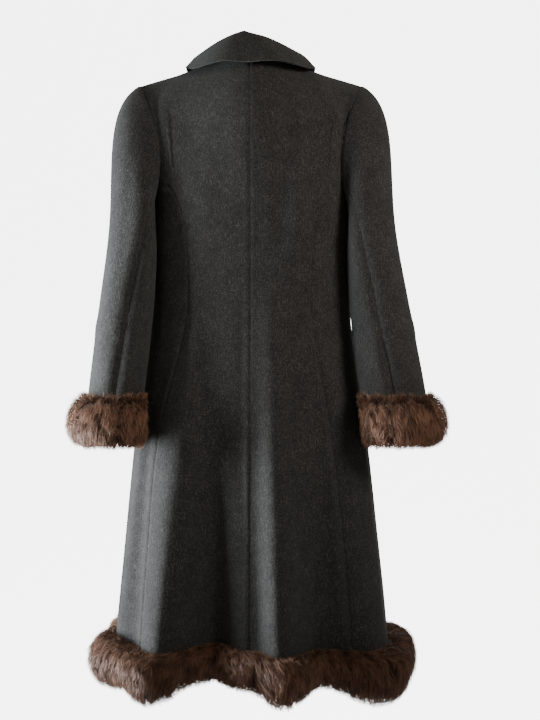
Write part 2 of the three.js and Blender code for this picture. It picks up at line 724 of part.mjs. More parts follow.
// Turned-down collar: it rises from the neck seam, rolls over and falls outside the neck
function collarPoint(around, drop) {
  const place = Math.abs(around);
  const side = Math.sign(around) || 1;
  const shifted = Math.abs(around - collarPeakShift * (1 - place) ** 2);
  const seam = pointFrom(collarSeam, "around", place);
  const roll = pointFrom(collarRoll, "around", place);
  const edge = pointFrom(collarEdge, "around", place);
  seam.z += collarClearance;
  roll.z = fromTable(collarRoll, "around", "z", shifted);
  const outward = new THREE.Vector3(edge.x - seam.x, edge.y - seam.y, 0).normalize();
  seam.addScaledVector(outward, -clothThickness - collarClearance);
  const over = outward.clone().multiplyScalar(collarRollWidth);
  const up = new THREE.Vector3(roll.x - seam.x, roll.y - seam.y, roll.z - seam.z);
  const down = edge.clone().sub(roll);
  const rising = drop <= 1;
  const from = rising ? seam : roll;
  const to = rising ? roll : edge;
  const leaving = rising ? up : over;
  const arriving = rising ? over : down;
  return mirrored(hermitePoint(from, leaving, to, arriving, rising ? drop : drop - 1), side);
}

function addCollar() {
  const outer = [];
  const inner = [];
  const near = 0.01;
  for (let row = 0; row <= collarRows; row += 1) {
    const drop = (2 * row) / collarRows;
    const outerRow = [];
    const innerRow = [];
    for (let column = 0; column <= collarColumns; column += 1) {
      const around = mix(-1, 1, column / collarColumns);
      const next = collarPoint(Math.min(around + near, 1), drop);
      const last = collarPoint(Math.max(around - near, -1), drop);
      const above = collarPoint(around, Math.min(drop + near, 2));
      const below = collarPoint(around, Math.max(drop - near, 0));
      const normal = next.sub(last).cross(above.sub(below)).normalize();
      const point = collarPoint(around, drop);
      outerRow.push(point);
      innerRow.push(point.clone().addScaledVector(normal, clothThickness));
    }
    outer.push(outerRow);
    inner.push(innerRow);
  }
  addPiece("collar", wall(outer, inner), woolMaterial);
}

// Plain round button on the centre front, seated on the right front
function addButton(name, z) {
  const onBodice = z > chestLevel;
  const skirtLevel = (z - hemLevel) / (chestLevel - hemLevel);
  const bodiceLevel = 1 + (z - chestLevel) / (frontNeckLevel - chestLevel);
  const level = onBodice ? bodiceLevel : skirtLevel;
  const seat = bodyPoint(turnAt.front, level);
  const normal = bodyNormal(turnAt.front, level);
  let swell = 0;
  for (const { turn, up } of underButton) {
    const near = bodyPoint(turnAt.front + turn, level + up * (onBodice ? 1 : skirtLevelShare));
    swell = Math.max(swell, near.sub(seat).dot(normal));
  }
  const profile = buttonProfile.map(({ radius, up }) => new THREE.Vector2(radius, up));
  const mesh = new THREE.Mesh(new THREE.LatheGeometry(profile, buttonSides), buttonMaterial);
  mesh.name = name;
  mesh.quaternion.setFromUnitVectors(new THREE.Vector3(0, 1, 0), normal);
  mesh.position.copy(seat.addScaledVector(normal, buttonThickness / 2 + swell + seamGap));
  group.add(mesh);
}

const { armholeBack, armholeFront, endBack, endFront } = sleeveSeams;
const backSeam = { armhole: armholeBack, end: endBack };
const frontSeam = { armhole: armholeFront, end: endFront };
const frontSeamBefore = { armhole: armholeFront - 1, end: endFront - 1 };
for (const [label, stations, side] of [["left", sleeveLeft, 1], ["right", sleeveRight, -1]]) {
  addSleevePiece(`sleeve_top_${label}`, stations, side, topColumns, frontSeamBefore, backSeam);
  addSleevePiece(`sleeve_under_${label}`, stations, side, underColumns, backSeam, frontSeam);
  addCuff(`fur_cuff_${label}`, stations, side);
}
addHemFur();
addCollar();
buttonHeights.forEach((height, row) => addButton(`button_${row + 1}`, height));

export default group;
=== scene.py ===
# %% [markdown]
# # A long wool coat with fur cuffs and a fur hem
# The coat hangs filled out, with no wearer, and we look at its back. Its form is fixed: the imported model
# gives it, and each piece that we make here lies on the same form, only finer. So the first step loads
# that model.

# %% Load the fixed frame
import math

import bpy
import numpy as np
from mathutils import Matrix, Vector


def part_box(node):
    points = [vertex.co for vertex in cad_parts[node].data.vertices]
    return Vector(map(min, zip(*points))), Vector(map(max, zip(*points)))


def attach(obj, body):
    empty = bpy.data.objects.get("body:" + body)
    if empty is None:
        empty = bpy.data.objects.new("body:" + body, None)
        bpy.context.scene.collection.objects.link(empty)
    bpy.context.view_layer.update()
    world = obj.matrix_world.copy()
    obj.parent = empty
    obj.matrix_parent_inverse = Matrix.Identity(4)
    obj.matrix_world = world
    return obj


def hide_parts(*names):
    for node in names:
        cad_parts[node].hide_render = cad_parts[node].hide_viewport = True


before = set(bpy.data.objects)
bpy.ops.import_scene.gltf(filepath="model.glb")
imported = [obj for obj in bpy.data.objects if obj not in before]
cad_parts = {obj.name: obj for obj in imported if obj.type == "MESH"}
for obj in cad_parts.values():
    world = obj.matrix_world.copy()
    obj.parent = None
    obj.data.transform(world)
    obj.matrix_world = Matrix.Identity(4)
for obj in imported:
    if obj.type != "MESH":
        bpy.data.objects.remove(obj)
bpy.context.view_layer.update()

# %% [markdown]
# ## The camera
# The photograph was taken from behind the coat and level with its middle. Its distance isn't known, and
# 1.8 m is a guess. We could let Blender fit the object into the view, but with a set place and lens the coat
# lies where it does in the photograph.

# %% Camera
photo_camera = bpy.data.objects.new("photo_camera", bpy.data.cameras.new("photo_camera"))
bpy.context.scene.collection.objects.link(photo_camera)
photo_camera.location = (-0.032, 1.80, -0.505)
photo_camera.rotation_euler = (math.radians(90), 0, math.radians(180))
photo_camera.data.lens = 52.95
photo_camera.data.sensor_width = 36
bpy.context.scene.camera = photo_camera
print("camera lens in mm:", photo_camera.data.lens)

# %% [markdown]
# ## Tables and smooth values
# A garment's form is easiest to keep as short tables of sizes, with a smooth curve through the rows. We
# could model every panel by hand, but then the seams of two neighbours would not meet. All sizes here are
# in millimetres, and only the finished meshes are turned into metres.

# %% Helpers for tables and curves
MM = 0.001


def table(names, rows):
    return dict(zip(names.split(), np.array(rows, float).T))


def mix(first, second, share):
    return first + (second - first) * share


def ease(share):
    share = np.clip(share, 0, 1)
    return share * share * (3 - 2 * share)


def hermite(start, leaving, end, arriving, share):
    s2, s3 = share * share, share ** 3
    near_start = start * (2 * s3 - 3 * s2 + 1) + leaving * (s3 - 2 * s2 + share)
    return near_start + end * (3 * s2 - 2 * s3) + arriving * (s3 - s2)


def smooth(rows, key, column, value):
    keys, values = rows[key], rows[column]
    low = np.clip(np.searchsorted(keys, value) - 1, 0, len(keys) - 2)
    high, before, after = low + 1, np.maximum(low - 1, 0), np.minimum(low + 2, len(keys) - 1)
    width = keys[high] - keys[low]
    share = np.clip((value - keys[low]) / width, 0, 1)
    leaving = (values[high] - values[before]) / (keys[high] - keys[before]) * width
    arriving = (values[after] - values[low]) / (keys[after] - keys[low]) * width
    return hermite(values[low], leaving, values[high], arriving, share)


def smooth_points(rows, key, value, columns="x y z"):
    return np.stack([smooth(rows, key, column, value) for column in columns.split()], -1)


def unit(vectors):
    return vectors / np.maximum(np.linalg.norm(vectors, axis=-1, keepdims=True), 1e-9)


print("smooth value between two rows:", smooth(table("z x", [(0, 0), (10, 5)]), "z", "x", 4.0))

# %% [markdown]
# ## The form of the body
# A flared coat is a row of rings: wide at the hem, narrow at the waist, wide again at the chest. The
# skirt's deep folds are cones that grow from the hips down to the hem. Each place on the coat has a turn
# round it, from the centre back, and a level: 0 at the hem, 1 at the chest and 2 at the upper edge.

# %% Rings and cone folds
hem_level, chest_level, roundness = -985.0, -290.0, 0.92
fold_growth, fold_most = 1.25, 1.2  # a cone fold's growth is no straight line, and it goes on under the hem
body_sections = table("z half_width back front", [
    (-985, 224, 128, 138), (-850, 213, 126, 132), (-700, 200, 122, 126), (-580, 187, 112, 117),
    (-437, 168, 92, 102), (-360, 168, 94, 112), (-290, 172, 101, 118)])
skirt_folds = table("turn height start", [
    (0, -14, -400), (16, -66, -415), (38, 22, -430), (56, 1, -600), (74, 10, -520), (97, -12, -560),
    (120, 20, -470), (142, -30, -450), (162, 8, -430), (171, 0, -400), (189, 0, -400), (203, 16, -450),
    (224, -34, -480), (247, 22, -440), (272, 8, -400), (301, 17, -460), (330, -26, -500), (350, 28, -380)])


def fold_height(turn, z):
    turns = skirt_folds["turn"]
    place = np.mod(turn, 360)
    low = np.searchsorted(turns, place, side="right") - 1
    high = (low + 1) % len(turns)
    share = (place - turns[low]) / np.mod(turns[high] - turns[low], 360)

    def grown(row):
        start = skirt_folds["start"][row]
        growth = np.clip((start - z) / (start - hem_level), 0, fold_most)
        return skirt_folds["height"][row] * growth ** fold_growth

    return mix(grown(low), grown(high), ease(share))


def ring_sizes(is_back, z):
    half_width, back, front = (
        smooth(body_sections, "z", name, z) for name in ("half_width", "back", "front"))
    return half_width, np.where(is_back, back, front)


def ring_outward(turn, z):
    along = np.cos(np.radians(turn))
    half_width, depth = ring_sizes(along > 0, z)
    outward = unit(np.stack([np.sin(np.radians(turn)) / half_width, along / depth, 0 * along], -1))
    return outward, half_width, depth


def ring_point(turn, z):
    turn, z = np.broadcast_arrays(np.asarray(turn, float), np.asarray(z, float))
    outward, half_width, depth = ring_outward(turn, z)
    across, along = np.sin(np.radians(turn)), np.cos(np.radians(turn))
    x = half_width * np.sign(across) * np.abs(across) ** roundness
    y = depth * np.sign(along) * np.abs(along) ** roundness
    return np.stack([x, y, z], -1) + outward * fold_height(turn, z)[..., None]


print("waist is", 2 * smooth(body_sections, "z", "half_width", -437.0), "mm wide")

# %% [markdown]
# ## Shoulders, neck and armholes
# Above the chest each column of cloth runs in one curve up to an edge: the neck, the shoulder seam or the
# armhole. The edge is a table, and so is the direction in which the cloth reaches it, which is what makes
# the shoulder blades full and the armhole turn over softly.

# %% Upper edges and the whole body sheet
neck_back, tip_back, tip_front, neck_front = 24, 44, 136, 156  # the turns where one edge passes to the next
arrival_pull = 0.85
probe_turn, probe_level, probe_drop = 0.6, 0.02, 10
shoulder_normal = (0.27, 0, 0.96)
back_neck = table("turn x y z", [(0, 0, 74, 0), (5, 16, 74, 0), (15, 52, 57, -3), (24, 80, 8, -10)])
shoulder_seam = table("turn x y z", [(24, 80, 8, -10), (44, 187, 4, -40)])
armhole = table("turn x y z", [
    (44, 187, 4, -40), (45.5, 184, 25, -47), (48, 172, 46, -76), (51.5, 155, 61, -124), (55, 148, 66, -172),
    (60, 150, 58, -214), (71, 161, 36, -246), (90, 171, 0, -258), (109, 163, -38, -249),
    (120, 151, -64, -220), (125, 144, -74, -174), (128.5, 149, -70, -122), (132, 170, -44, -76),
    (134.5, 184, -19, -47), (136, 187, 4, -40)])
front_neck = table("turn x y z", [
    (156, 80, 8, -10), (163, 66, -48, -46), (172, 30, -83, -80), (177, 11, -88, -86), (180, 0, -88, -86)])
arrivals = table("turn x y z", [
    (0, 0, -0.5, 0.86), (14, -0.1, -0.7, 0.7), (23, 0, -1, 0), (34, 0.3, -0.95, -0.08),
    (44, 0.58, -0.8, -0.16), (48, 0.8, -0.55, 0.15), (51.5, 0.64, -0.45, 0.62), (55, 0.37, -0.25, 0.9),
    (71, 0.1, 0, 1), (109, 0.1, 0, 1), (125, 0.37, 0.25, 0.9), (128.5, 0.64, 0.45, 0.62),
    (132, 0.8, 0.55, 0.15), (136, 0.58, 0.8, -0.16), (146, 0.3, 0.95, -0.08), (157, 0, 1, 0),
    (166, -0.1, 0.6, 0.75), (180, 0, 0.3, 0.95)])


def upper_edge(turn):
    front_share = (neck_front - turn) / (neck_front - tip_front)
    edges = [smooth_points(rows, "turn", turn) for rows in (back_neck, shoulder_seam, armhole)]
    edges.append(smooth_points(shoulder_seam, "turn", mix(neck_back, tip_back, front_share)))
    where = [(turn <= limit)[..., None] for limit in (neck_back, tip_back, tip_front, neck_front)]
    return np.select(where, edges, smooth_points(front_neck, "turn", turn))


def body_point(turn, level):
    turn, level = np.broadcast_arrays(np.asarray(turn, float), np.asarray(level, float))
    mirrored = (turn > 180) | (turn < 0)
    place = np.where(turn > 180, 360 - turn, np.abs(turn))
    skirt = ring_point(turn, mix(hem_level, chest_level, np.minimum(level, 1)))
    start, end = ring_point(place, chest_level), upper_edge(place)
    length = np.linalg.norm(end - start, axis=-1, keepdims=True)
    leaving = unit(start - ring_point(place, chest_level - probe_drop)) * length
    arriving = unit(smooth_points(arrivals, "turn", place)) * length * arrival_pull
    bodice = hermite(start, leaving, end, arriving, np.clip(level - 1, 0, 1)[..., None])
    bodice[..., 0] *= np.where(mirrored, -1, 1)
    return np.where((level <= 1)[..., None], skirt, bodice)


def body_normal(turn, level):
    high = np.minimum(level + probe_level, 2)
    around = body_point(turn + probe_turn, level) - body_point(turn - probe_turn, level)
    rising = body_point(turn, high) - body_point(turn, high - 2 * probe_level)
    normal = unit(np.cross(rising, around))
    place = np.where(turn > 180, 360 - turn, np.abs(turn))
    on_back = (place >= neck_back) & (place <= tip_back)
    on_seam = on_back | ((place >= tip_front) & (place <= neck_front))
    side = np.where((turn < 0) | (turn > 180), -1.0, 1.0)
    x, y, z = shoulder_normal
    seam_normal = unit(np.stack([x * side, y * side, z + 0 * side], -1))
    return np.where(((level > 1.999) & on_seam)[..., None], seam_normal, normal)


print("shoulder tip:", body_point(44.0, 2.0))

# %% [markdown]
# ## Walls of cloth
# Boiled wool is about 2.5 mm thick, so each panel is a closed wall: an outer sheet, an inner one and a rim
# all round. A Solidify modifier would do it too. Here the mesh is written directly, because the rims must
# stay exactly at the seams. The outer sheet dips a little beside each seam, where the stitches pull it in.

# %% Meshes from grids
cloth_thickness = 2.5


def mesh_object(name, points, faces):
    mesh = bpy.data.meshes.new(name)
    mesh.from_pydata((np.asarray(points) * MM).tolist(), [], faces)
    mesh.validate()
    mesh.polygons.foreach_set("use_smooth", [True] * len(mesh.polygons))
    piece = bpy.data.objects.new(name, mesh)
    bpy.context.scene.collection.objects.link(piece)
    return piece


def grid_faces(rows, columns, first=0, flipped=False):
    corner = (np.arange(rows - 1)[:, None] * columns + np.arange(columns - 1)).ravel() + first
    quads = np.stack([corner, corner + 1, corner + columns + 1, corner + columns], -1)
    return (quads[:, ::-1] if flipped else quads).tolist()


def wall_object(name, outer, inner):
    rows, columns = outer.shape[:2]
    total = rows * columns
    facing = np.cross(outer[:-1, 1:] - outer[:-1, :-1], outer[1:, :-1] - outer[:-1, :-1])
    outward = (facing * (outer - inner)[:-1, :-1]).sum() >= 0
    border = [*range(columns), *range(2 * columns - 1, total, columns),
              *range(total - 2, total - columns - 1, -1), *range(total - 2 * columns, 0, -columns)]
    rim = [(a, a + total, b + total, b) for a, b in zip(border, border[1:] + border[:1])]
    faces = grid_faces(rows, columns) + grid_faces(rows, columns, total, True) + rim
    if not outward:
        faces = [face[::-1] for face in faces]
    return mesh_object(name, np.concatenate([outer.reshape(-1, 3), inner.reshape(-1, 3)]), faces)


def run_along(points, axis):
    steps = np.linalg.norm(np.diff(points, axis=axis), axis=-1)
    start = np.zeros_like(np.take(steps, [0], axis))
    return np.concatenate([start, np.cumsum(steps, axis)], axis)


def edge_distances(points):
    across, along = run_along(points, 1), run_along(points, 0)
    return across, across[:, -1:] - across, along, along[-1:] - along


print("a small grid has", len(grid_faces(3, 4)), "faces")

# %% [markdown]
# ## Creases laid one by one
# Cloth that hangs is never quite even. Long soft troughs and ridges run down the skirt between the cone
# folds, and short buckles cross the waist. A simulation could make them, but a table of single creases
# keeps them where the photograph shows them, each with its own length, depth and width.

# %% Tables of creases
mm_per_degree = 3.1
buckle_reach, buckle_slant = 0.6, 0.4
# At a seam, in millimetres: a groove at the stitches, a low roll beside it and an uneven pucker along it
groove_depth, groove_wide = 1.0, 1.5
roll_height, roll_place, roll_wide = 0.4, 6.5, 3.2
pucker_height, pucker_wide = 0.3, 5
# Each crease runs from one place and height to another. Height is its crest, or its trough when negative.
creases = table("turn_top z_top turn_low z_low wide height", [
    (-9, -330, -9, -985, 15, 3.2), (3, -380, 4, -985, 10, -2.6), (23, -440, 22, -985, 12, -2.4),
    (31, -340, 28, -985, 16, 5.0), (58, -520, 60, -985, 13, -2.0), (64, -470, 66, -880, 11, 1.8),
    (86, -500, 85, -970, 14, 2.6), (108, -480, 109, -985, 12, 2.2), (131, -520, 130, -900, 12, -1.8),
    (151, -470, 153, -985, 13, 2.0), (-19, -480, -20, -985, 9, -2.2), (-27, -420, -29, -900, 10, 1.6),
    (-37, -300, -43, -985, 12, 3.6), (-56, -460, -59, -985, 12, -2.6), (-70, -520, -72, -940, 10, 1.6),
    (-80, -480, -79, -985, 14, -1.8), (-101, -500, -99, -985, 13, 2.4), (-126, -470, -125, -940, 12, -2.0),
    (-148, -510, -149, -985, 13, 2.2), (24, -150, 22, -320, 16, 0.9), (-25, -60, -24, -330, 13, 3.4),
    (12, -90, 12, -260, 17, -0.8), (-16, -90, -15, -330, 12, -2.2), (-40, -120, -33, -300, 11, -2.0),
    (42, -160, 36, -300, 10, -1.5), (70, -300, 76, -420, 12, -1.4), (-68, -300, -74, -430, 12, -1.5),
    (118, -280, 112, -430, 13, 1.5), (-119, -280, -113, -420, 13, 1.5)])
buckles = table("turn z turns tall height", [
    (10, -408, 15, 5, -1.5), (-12, -432, 17, 5, -1.7), (34, -424, 12, 4, -1.6), (-35, -404, 13, 5, -1.5),
    (22, -452, 14, 6, 1.2), (-24, -466, 13, 5, 1.1), (70, -436, 14, 5, -1.8), (-74, -440, 14, 5, -1.7),
    (104, -428, 15, 6, -1.6), (-102, -450, 15, 5, -1.6), (140, -424, 15, 6, 1.3), (-142, -438, 15, 5, 1.3),
    (4, -30, 13, 5, -1.1), (-15, -46, 11, 5, 0.9), (30, -62, 8, 6, -1.0), (-31, -70, 8, 6, -1.0)])


def bump_of(distance, wide):
    return np.exp(-(distance / wide) ** 2)


def relief(turn, points):
    z = points[..., 2]
    place = np.mod(turn + 180, 360) - 180
    height = np.zeros_like(z)
    for row in range(len(creases["wide"])):
        turn_top, z_top, turn_low, z_low, wide, crest = (creases[name][row] for name in creases)
        share = (z_top - z) / (z_top - z_low)
        aside = np.mod(place - mix(turn_top, turn_low, share) + 180, 360) - 180
        # It fades in over its first quarter, widens on its way down and is still there at its end
        fade = ease(share * 4) * ease((1 - share) * 3 + 0.35)
        height += crest * fade * bump_of(aside * mm_per_degree, wide * (0.8 + 0.5 * np.clip(share, 0, 1)))
    for row in range(len(buckles["turn"])):
        turn_at, z_at, turns, tall, crest = (buckles[name][row] for name in buckles)
        aside = np.mod(place - turn_at + 180, 360) - 180
        above = z - z_at - aside * buckle_slant
        height += crest * bump_of(aside, turns * buckle_reach) * bump_of(above, tall)
    return height


def seam_dip(distance, along):
    stitches = np.sin(along * 0.42 + 2.2 * np.sin(along * 0.063))
    pucker = pucker_height * stitches * bump_of(distance, pucker_wide)
    roll = roll_height * bump_of(distance - roll_place, roll_wide)
    return -groove_depth * bump_of(distance, groove_wide) + roll + pucker


print("creases:", len(creases["wide"]), "buckles:", len(buckles["turn"]))

# %% [markdown]
# ## The six body panels
# A fitted coat is shaped by its seams: a centre-back seam, two princess seams that curve into the
# armholes, and side seams. Each panel covers its own share of the turn round the body. Its columns crowd
# together beside the seams, so that the dip at a seam is smooth, and the skirt hangs from them in its
# folds.

# %% Panel shapes
princess_left = table("z turn", [(-985, 50), (-806, 50), (-640, 49), (-437, 37), (-290, 35.5)])
princess_right = table("z turn", [(-985, 46), (-806, 45), (-640, 42), (-437, 34.5), (-290, 35.5)])
princess_top = table("rise turn", [(0, 35.5), (0.15, 41), (0.22, 46), (0.33, 50.5), (0.57, 55.5), (1, 60)])
back_stops = [0, 8, 16, 24, 34, 44, 45.5, 48, 50, 51.5, 53.5, 55, 57.5, 60]
front_stops = [
    90, 100, 109, 115, 120, 123, 125, 127, 128.5, 130.5, 132, 134.5, 136, 142, 149, 156, 163, 172, 180]
princess_chest, princess_armhole, side_seam = 35.5, 60, 90
lap_turn, lap_power = 6.0, 6  # only the last columns of the right front take part in the lap
skirt_rows, bodice_rows = 84, 44


def princess_turn(seam, level):
    low = smooth(seam, "z", "turn", mix(hem_level, chest_level, np.minimum(level, 1)))
    return np.where(level <= 1, low, smooth(princess_top, "rise", "turn", np.maximum(level - 1, 0)))


def stop_turn(share, stops):
    return np.interp(share, np.linspace(0, 1, len(stops)), stops)


def back_turn(seam, share, level):
    turn = princess_turn(seam, level)
    settled = np.where(level <= 1, 0, (turn - princess_chest) / (princess_armhole - princess_chest))
    plain = np.where(level <= 1, turn, princess_chest) * share
    return mix(plain, stop_turn(share, back_stops), settled)


def side_turn(seam, share, level):
    return mix(princess_turn(seam, level), side_seam, share)


def front_turn(share, level, lap):
    turn = mix(mix(side_seam, 180, share), stop_turn(share, front_stops), np.clip(level - 1, 0, 1))
    return turn + lap * share ** lap_power


def crowded(count, crowding=0.72):
    even = np.linspace(-1, 1, count)
    return (np.sign(even) * (1 - (1 - np.abs(even)) ** (1 + crowding)) + 1) / 2


body_levels = np.concatenate([np.linspace(0, 1, skirt_rows)[:-1], 1 + crowded(bodice_rows, 0.5)])
print("rows of cloth:", len(body_levels))

# %% [markdown]
# ## From a grid of places to a panel of cloth
# A real panel is cut flat and takes its form from its neighbours and from the body inside it. We start at
# the end of that: the form is known, so we lay a grid of points on it and even out its small kinks, as the
# cloth's own stiffness does. Then come the creases, which fade out at the seams, and the dips at the seams
# themselves. The inner sheet runs on a little past each seam, so no light shines through it.

# %% Make the panels
edge_inset, allowance = 0.02, 2.0
dip_most = 1.4
relax_share, relax_rounds, relax_from = 0.5, 60, 1.05
lap_sink, lap_start, lap_ease = 4.0, 165, 4  # the left front lies this much lower, under the right one


def relaxed(points, weight, rounds):
    # Evens out small kinks of the form, as cloth does, and leaves the edges where they are
    points, weight = points.copy(), weight[1:-1, 1:-1, None]
    for _ in range(rounds):
        middle = (points[:-2, 1:-1] + points[2:, 1:-1] + points[1:-1, :-2] + points[1:-1, 2:]) / 4
        points[1:-1, 1:-1] += weight * (middle - points[1:-1, 1:-1])
    return points


def grid_normals(points, edge_normals):
    normals = unit(np.cross(np.gradient(points, axis=1), np.gradient(points, axis=0)))
    normals *= np.sign((normals * edge_normals).sum(-1, keepdims=True))
    border = np.ones(points.shape[:2], bool)
    border[1:-1, 1:-1] = False
    return np.where(border[..., None], edge_normals, normals)


def inset_edges(points, normals, by):
    # Draws both seams of a sheet in by so much, or lets them run on where it is negative
    for column, beside in ((0, 1), (-1, -2)):
        along = np.gradient(points[:, column], axis=0)
        square = unit(np.cross(along, normals[:, column]))
        toward = np.sign(((points[:, beside] - points[:, column]) * square).sum(-1, keepdims=True))
        points[:, column] += square * toward * by
    return points


def body_panel(name, columns, turn_of, sink=0.0):
    share, level = np.meshgrid(crowded(columns), body_levels)
    turn = turn_of(share, level)
    points = relaxed(body_point(turn, level), relax_share * ease((level - relax_from) * 4), relax_rounds)
    normals = grid_normals(points, body_normal(turn, level))
    if sink:
        points = points - normals * (sink * ease((np.abs(turn) - lap_start) / lap_ease))[..., None]
    left, right, low, high = edge_distances(points)
    beside = np.minimum(left, right)
    rise = relief(turn, points) * ease(beside / 14) * ease(low / 20) * ease(high / 30)
    dip = seam_dip(beside, low) + np.where(high < 30, seam_dip(high, left), 0)
    points = inset_edges(points, normals, edge_inset)
    outer = points + normals * (rise + np.maximum(dip, -dip_most))[..., None]
    inner = inset_edges(points + normals * (rise - cloth_thickness)[..., None], normals, -allowance)
    return wall_object(name, outer, inner)


panels = {
    "back_left": body_panel("panel_back_left", 34, lambda s, v: back_turn(princess_left, s, v)),
    "back_right": body_panel("panel_back_right", 34, lambda s, v: -back_turn(princess_right, s, v)),
    "side_back_left": body_panel("panel_side_back_left", 26, lambda s, v: side_turn(princess_left, s, v)),
    "side_back_right": body_panel("panel_side_back_right", 24, lambda s, v: -side_turn(princess_right, s, v)),
    "front_left": body_panel("panel_front_left", 42, lambda s, v: front_turn(s, v, 0), lap_sink),
    "front_right": body_panel("panel_front_right", 44, lambda s, v: 360 - front_turn(s, v, lap_turn)),
}
for node, piece in panels.items():
    print(node, len(piece.data.polygons), "faces", [round(size, 3) for size in piece.dimensions])

# %% [markdown]
# ## Two-piece sleeves
# A tailored sleeve has an upper piece over the outside of the arm and a narrow under piece. Two seams join
# them and bend forward at the elbow. We could sweep a circle along a bent line, but each sleeve must also
# stay out of the body beside it, so its rings are eased away from the body's rings.

# %% Sleeve form
sleeve_left = table("z x y half_width half_depth", [
    (-610, 219, 86, 46, 50), (-573, 217, 81, 47, 51), (-437, 204, 54, 49, 56), (-300, 186, 42, 57, 61)])
sleeve_right = table("z x y half_width half_depth", [
    (-610, 238, 86, 50, 50), (-573, 232, 81, 55, 51), (-437, 213, 54, 54, 56), (-300, 193, 42, 56, 61)])
sleeve_starts = table("around x y z", [
    (0, 0.75, 0, -0.32), (0.17, 0.6, 0.35, -0.42), (0.33, 0.5, 0.35, -0.58), (0.5, 0.5, 0, -0.85),
    (0.67, 0.5, -0.3, -0.58), (0.83, 0.6, -0.35, -0.42), (1, 0.75, 0, -0.32)])
sleeve_gaps = table("z gap", [(-610, 12), (-500, 4), (-300, 1)])
ring_level, sleeve_end, armhole_bottom = -300.0, -606.0, -252.0
push_power = 14  # how hard the change is between a sleeve that is free and one that is pushed off the body
underarm_gap, underarm_depth = 1.5, 32


def reach_from_body(points, side, gap):
    x, y, z = points[..., 0], points[..., 1], points[..., 2]
    margin = gap + np.maximum(fold_height(np.degrees(np.arctan2(x, y)) * side, z), 0)
    half_width, depth = ring_sizes(y > 0, z)
    power = 2 / roundness
    across, along = np.abs(x) / (half_width + margin), np.abs(y) / (depth + margin)
    return (across ** power + along ** power) ** (1 / power)


def clear_of_body(points, side, gap):
    reach = np.maximum(reach_from_body(points, side, gap), 1e-3)
    scale = (1 + reach ** -float(push_power)) ** (1 / push_power)
    return np.stack([points[..., 0] * scale, points[..., 1] * scale, points[..., 2]], -1)


def sleeve_ring(stations, side, around, z):
    around, z = np.broadcast_arrays(np.asarray(around, float), np.asarray(z, float))
    angle = 2 * np.pi * around
    x = smooth(stations, "z", "x", z) + smooth(stations, "z", "half_width", z) * np.cos(angle)
    y = smooth(stations, "z", "y", z) + smooth(stations, "z", "half_depth", z) * np.sin(angle)
    return clear_of_body(np.stack([x, y, z], -1), side, smooth(sleeve_gaps, "z", "gap", z))


def sleeve_point(stations, side, around, level):
    around, level = np.broadcast_arrays(np.asarray(around, float), np.asarray(level, float))
    share = np.mod(around, 1)
    start = smooth_points(armhole, "turn", stop_turn(share, armhole["turn"]))
    end = sleeve_ring(stations, side, around, ring_level)
    length = np.linalg.norm(end - start, axis=-1, keepdims=True)
    leaving = smooth_points(sleeve_starts, "around", share) * length
    arriving = unit(sleeve_ring(stations, side, around, ring_level - probe_drop) - end) * length
    upper = hermite(start, leaving, end, arriving, np.clip(level, 0, 1)[..., None])
    lowered = np.clip((armhole_bottom - upper[..., 2]) / underarm_depth, 0, 1)[..., None]
    upper = mix(upper, clear_of_body(upper, side, underarm_gap), lowered)
    lower = sleeve_ring(stations, side, around, mix(ring_level, sleeve_end, np.maximum(level - 1, 0)))
    return np.where((level >= 1)[..., None], lower, upper)


print("left elbow:", sleeve_point(sleeve_left, 1, 0.25, 1.4))

# %% [markdown]
# ## Elbows, seams and the set of the sleeve
# A sleeve that has been worn keeps small buckles at the elbow and soft drags below the shoulder. The back
# seam lies in a trough, with the under piece swelling beside it, which is the line that shows along each
# sleeve. At the top the sleeve's own seam allowance is tucked under the edge of the body, as it is when it
# is sewn in.

# %% Make the sleeves
# Buckles of the sleeves: place round, level, reach round, reach in level, height and slant
sleeve_buckles = table("around level wide tall height slant", [
    (.30, 1.46, .09, .035, -2.2, .5), (.22, 1.56, .08, .04, -1.7, -.4), (.42, 1.52, .08, .035, -1.8, -.6),
    (.05, 1.50, .09, .05, 1.5, .3), (.62, 1.47, .09, .04, -2.0, .5), (.82, 1.42, .09, .05, -1.5, -.5),
    (.16, 1.30, .06, .18, 1.6, 0), (.10, .72, .035, .34, 1.7, .1), (.20, .66, .03, .36, -1.8, .08),
    (.28, .62, .03, .28, 1.5, .05), (.91, .70, .035, .32, -1.6, .1), (.02, 1.1, .05, .3, -1.2, 0),
    (.40, 1.2, .05, .24, -1.6, .1), (.12, 1.78, .06, .12, -1.5, .2), (.34, 1.74, .05, .14, 1.4, .1),
    (.55, 1.30, .05, .26, 1.5, 0), (.72, 1.20, .05, .24, 1.6, 0), (.86, 1.75, .07, .1, -1.6, .2)])
back_seam, front_seam, front_seam_before = (0.34, 0.25), (0.68, 0.75), (-0.32, -0.25)
sleeve_levels = np.concatenate([[0.006, 0.015, 0.03], np.linspace(0.05, 1, 40), np.linspace(1.02, 2, 50)])
fold_depth, fold_wide, bulge_place, bulge_wide = 2.2, 6, 15, 8
back_bulge, front_bulge = 3.0, 0.6
probe_share = 0.004
tuck_length, tuck_depth = 4, 2.2


def sleeve_relief(around, level):
    height = np.zeros_like(level)
    for row in range(len(sleeve_buckles["wide"])):
        at, level_at, wide, tall, crest, slant = (sleeve_buckles[name][row] for name in sleeve_buckles)
        aside = np.mod(around - at - slant * 0.2 * (level - level_at) + 0.5, 1) - 0.5
        height += crest * bump_of(aside, wide) * bump_of(level - level_at - slant * aside, tall)
    return height


def seam_fold(distance, level, bulge):
    # The back seam lies in a soft trough, and the under piece swells beside it
    depth = fold_depth * bump_of(distance, fold_wide) - bulge * bump_of(distance - bulge_place, bulge_wide)
    return -depth * ease((level - 0.6) * 2.5)


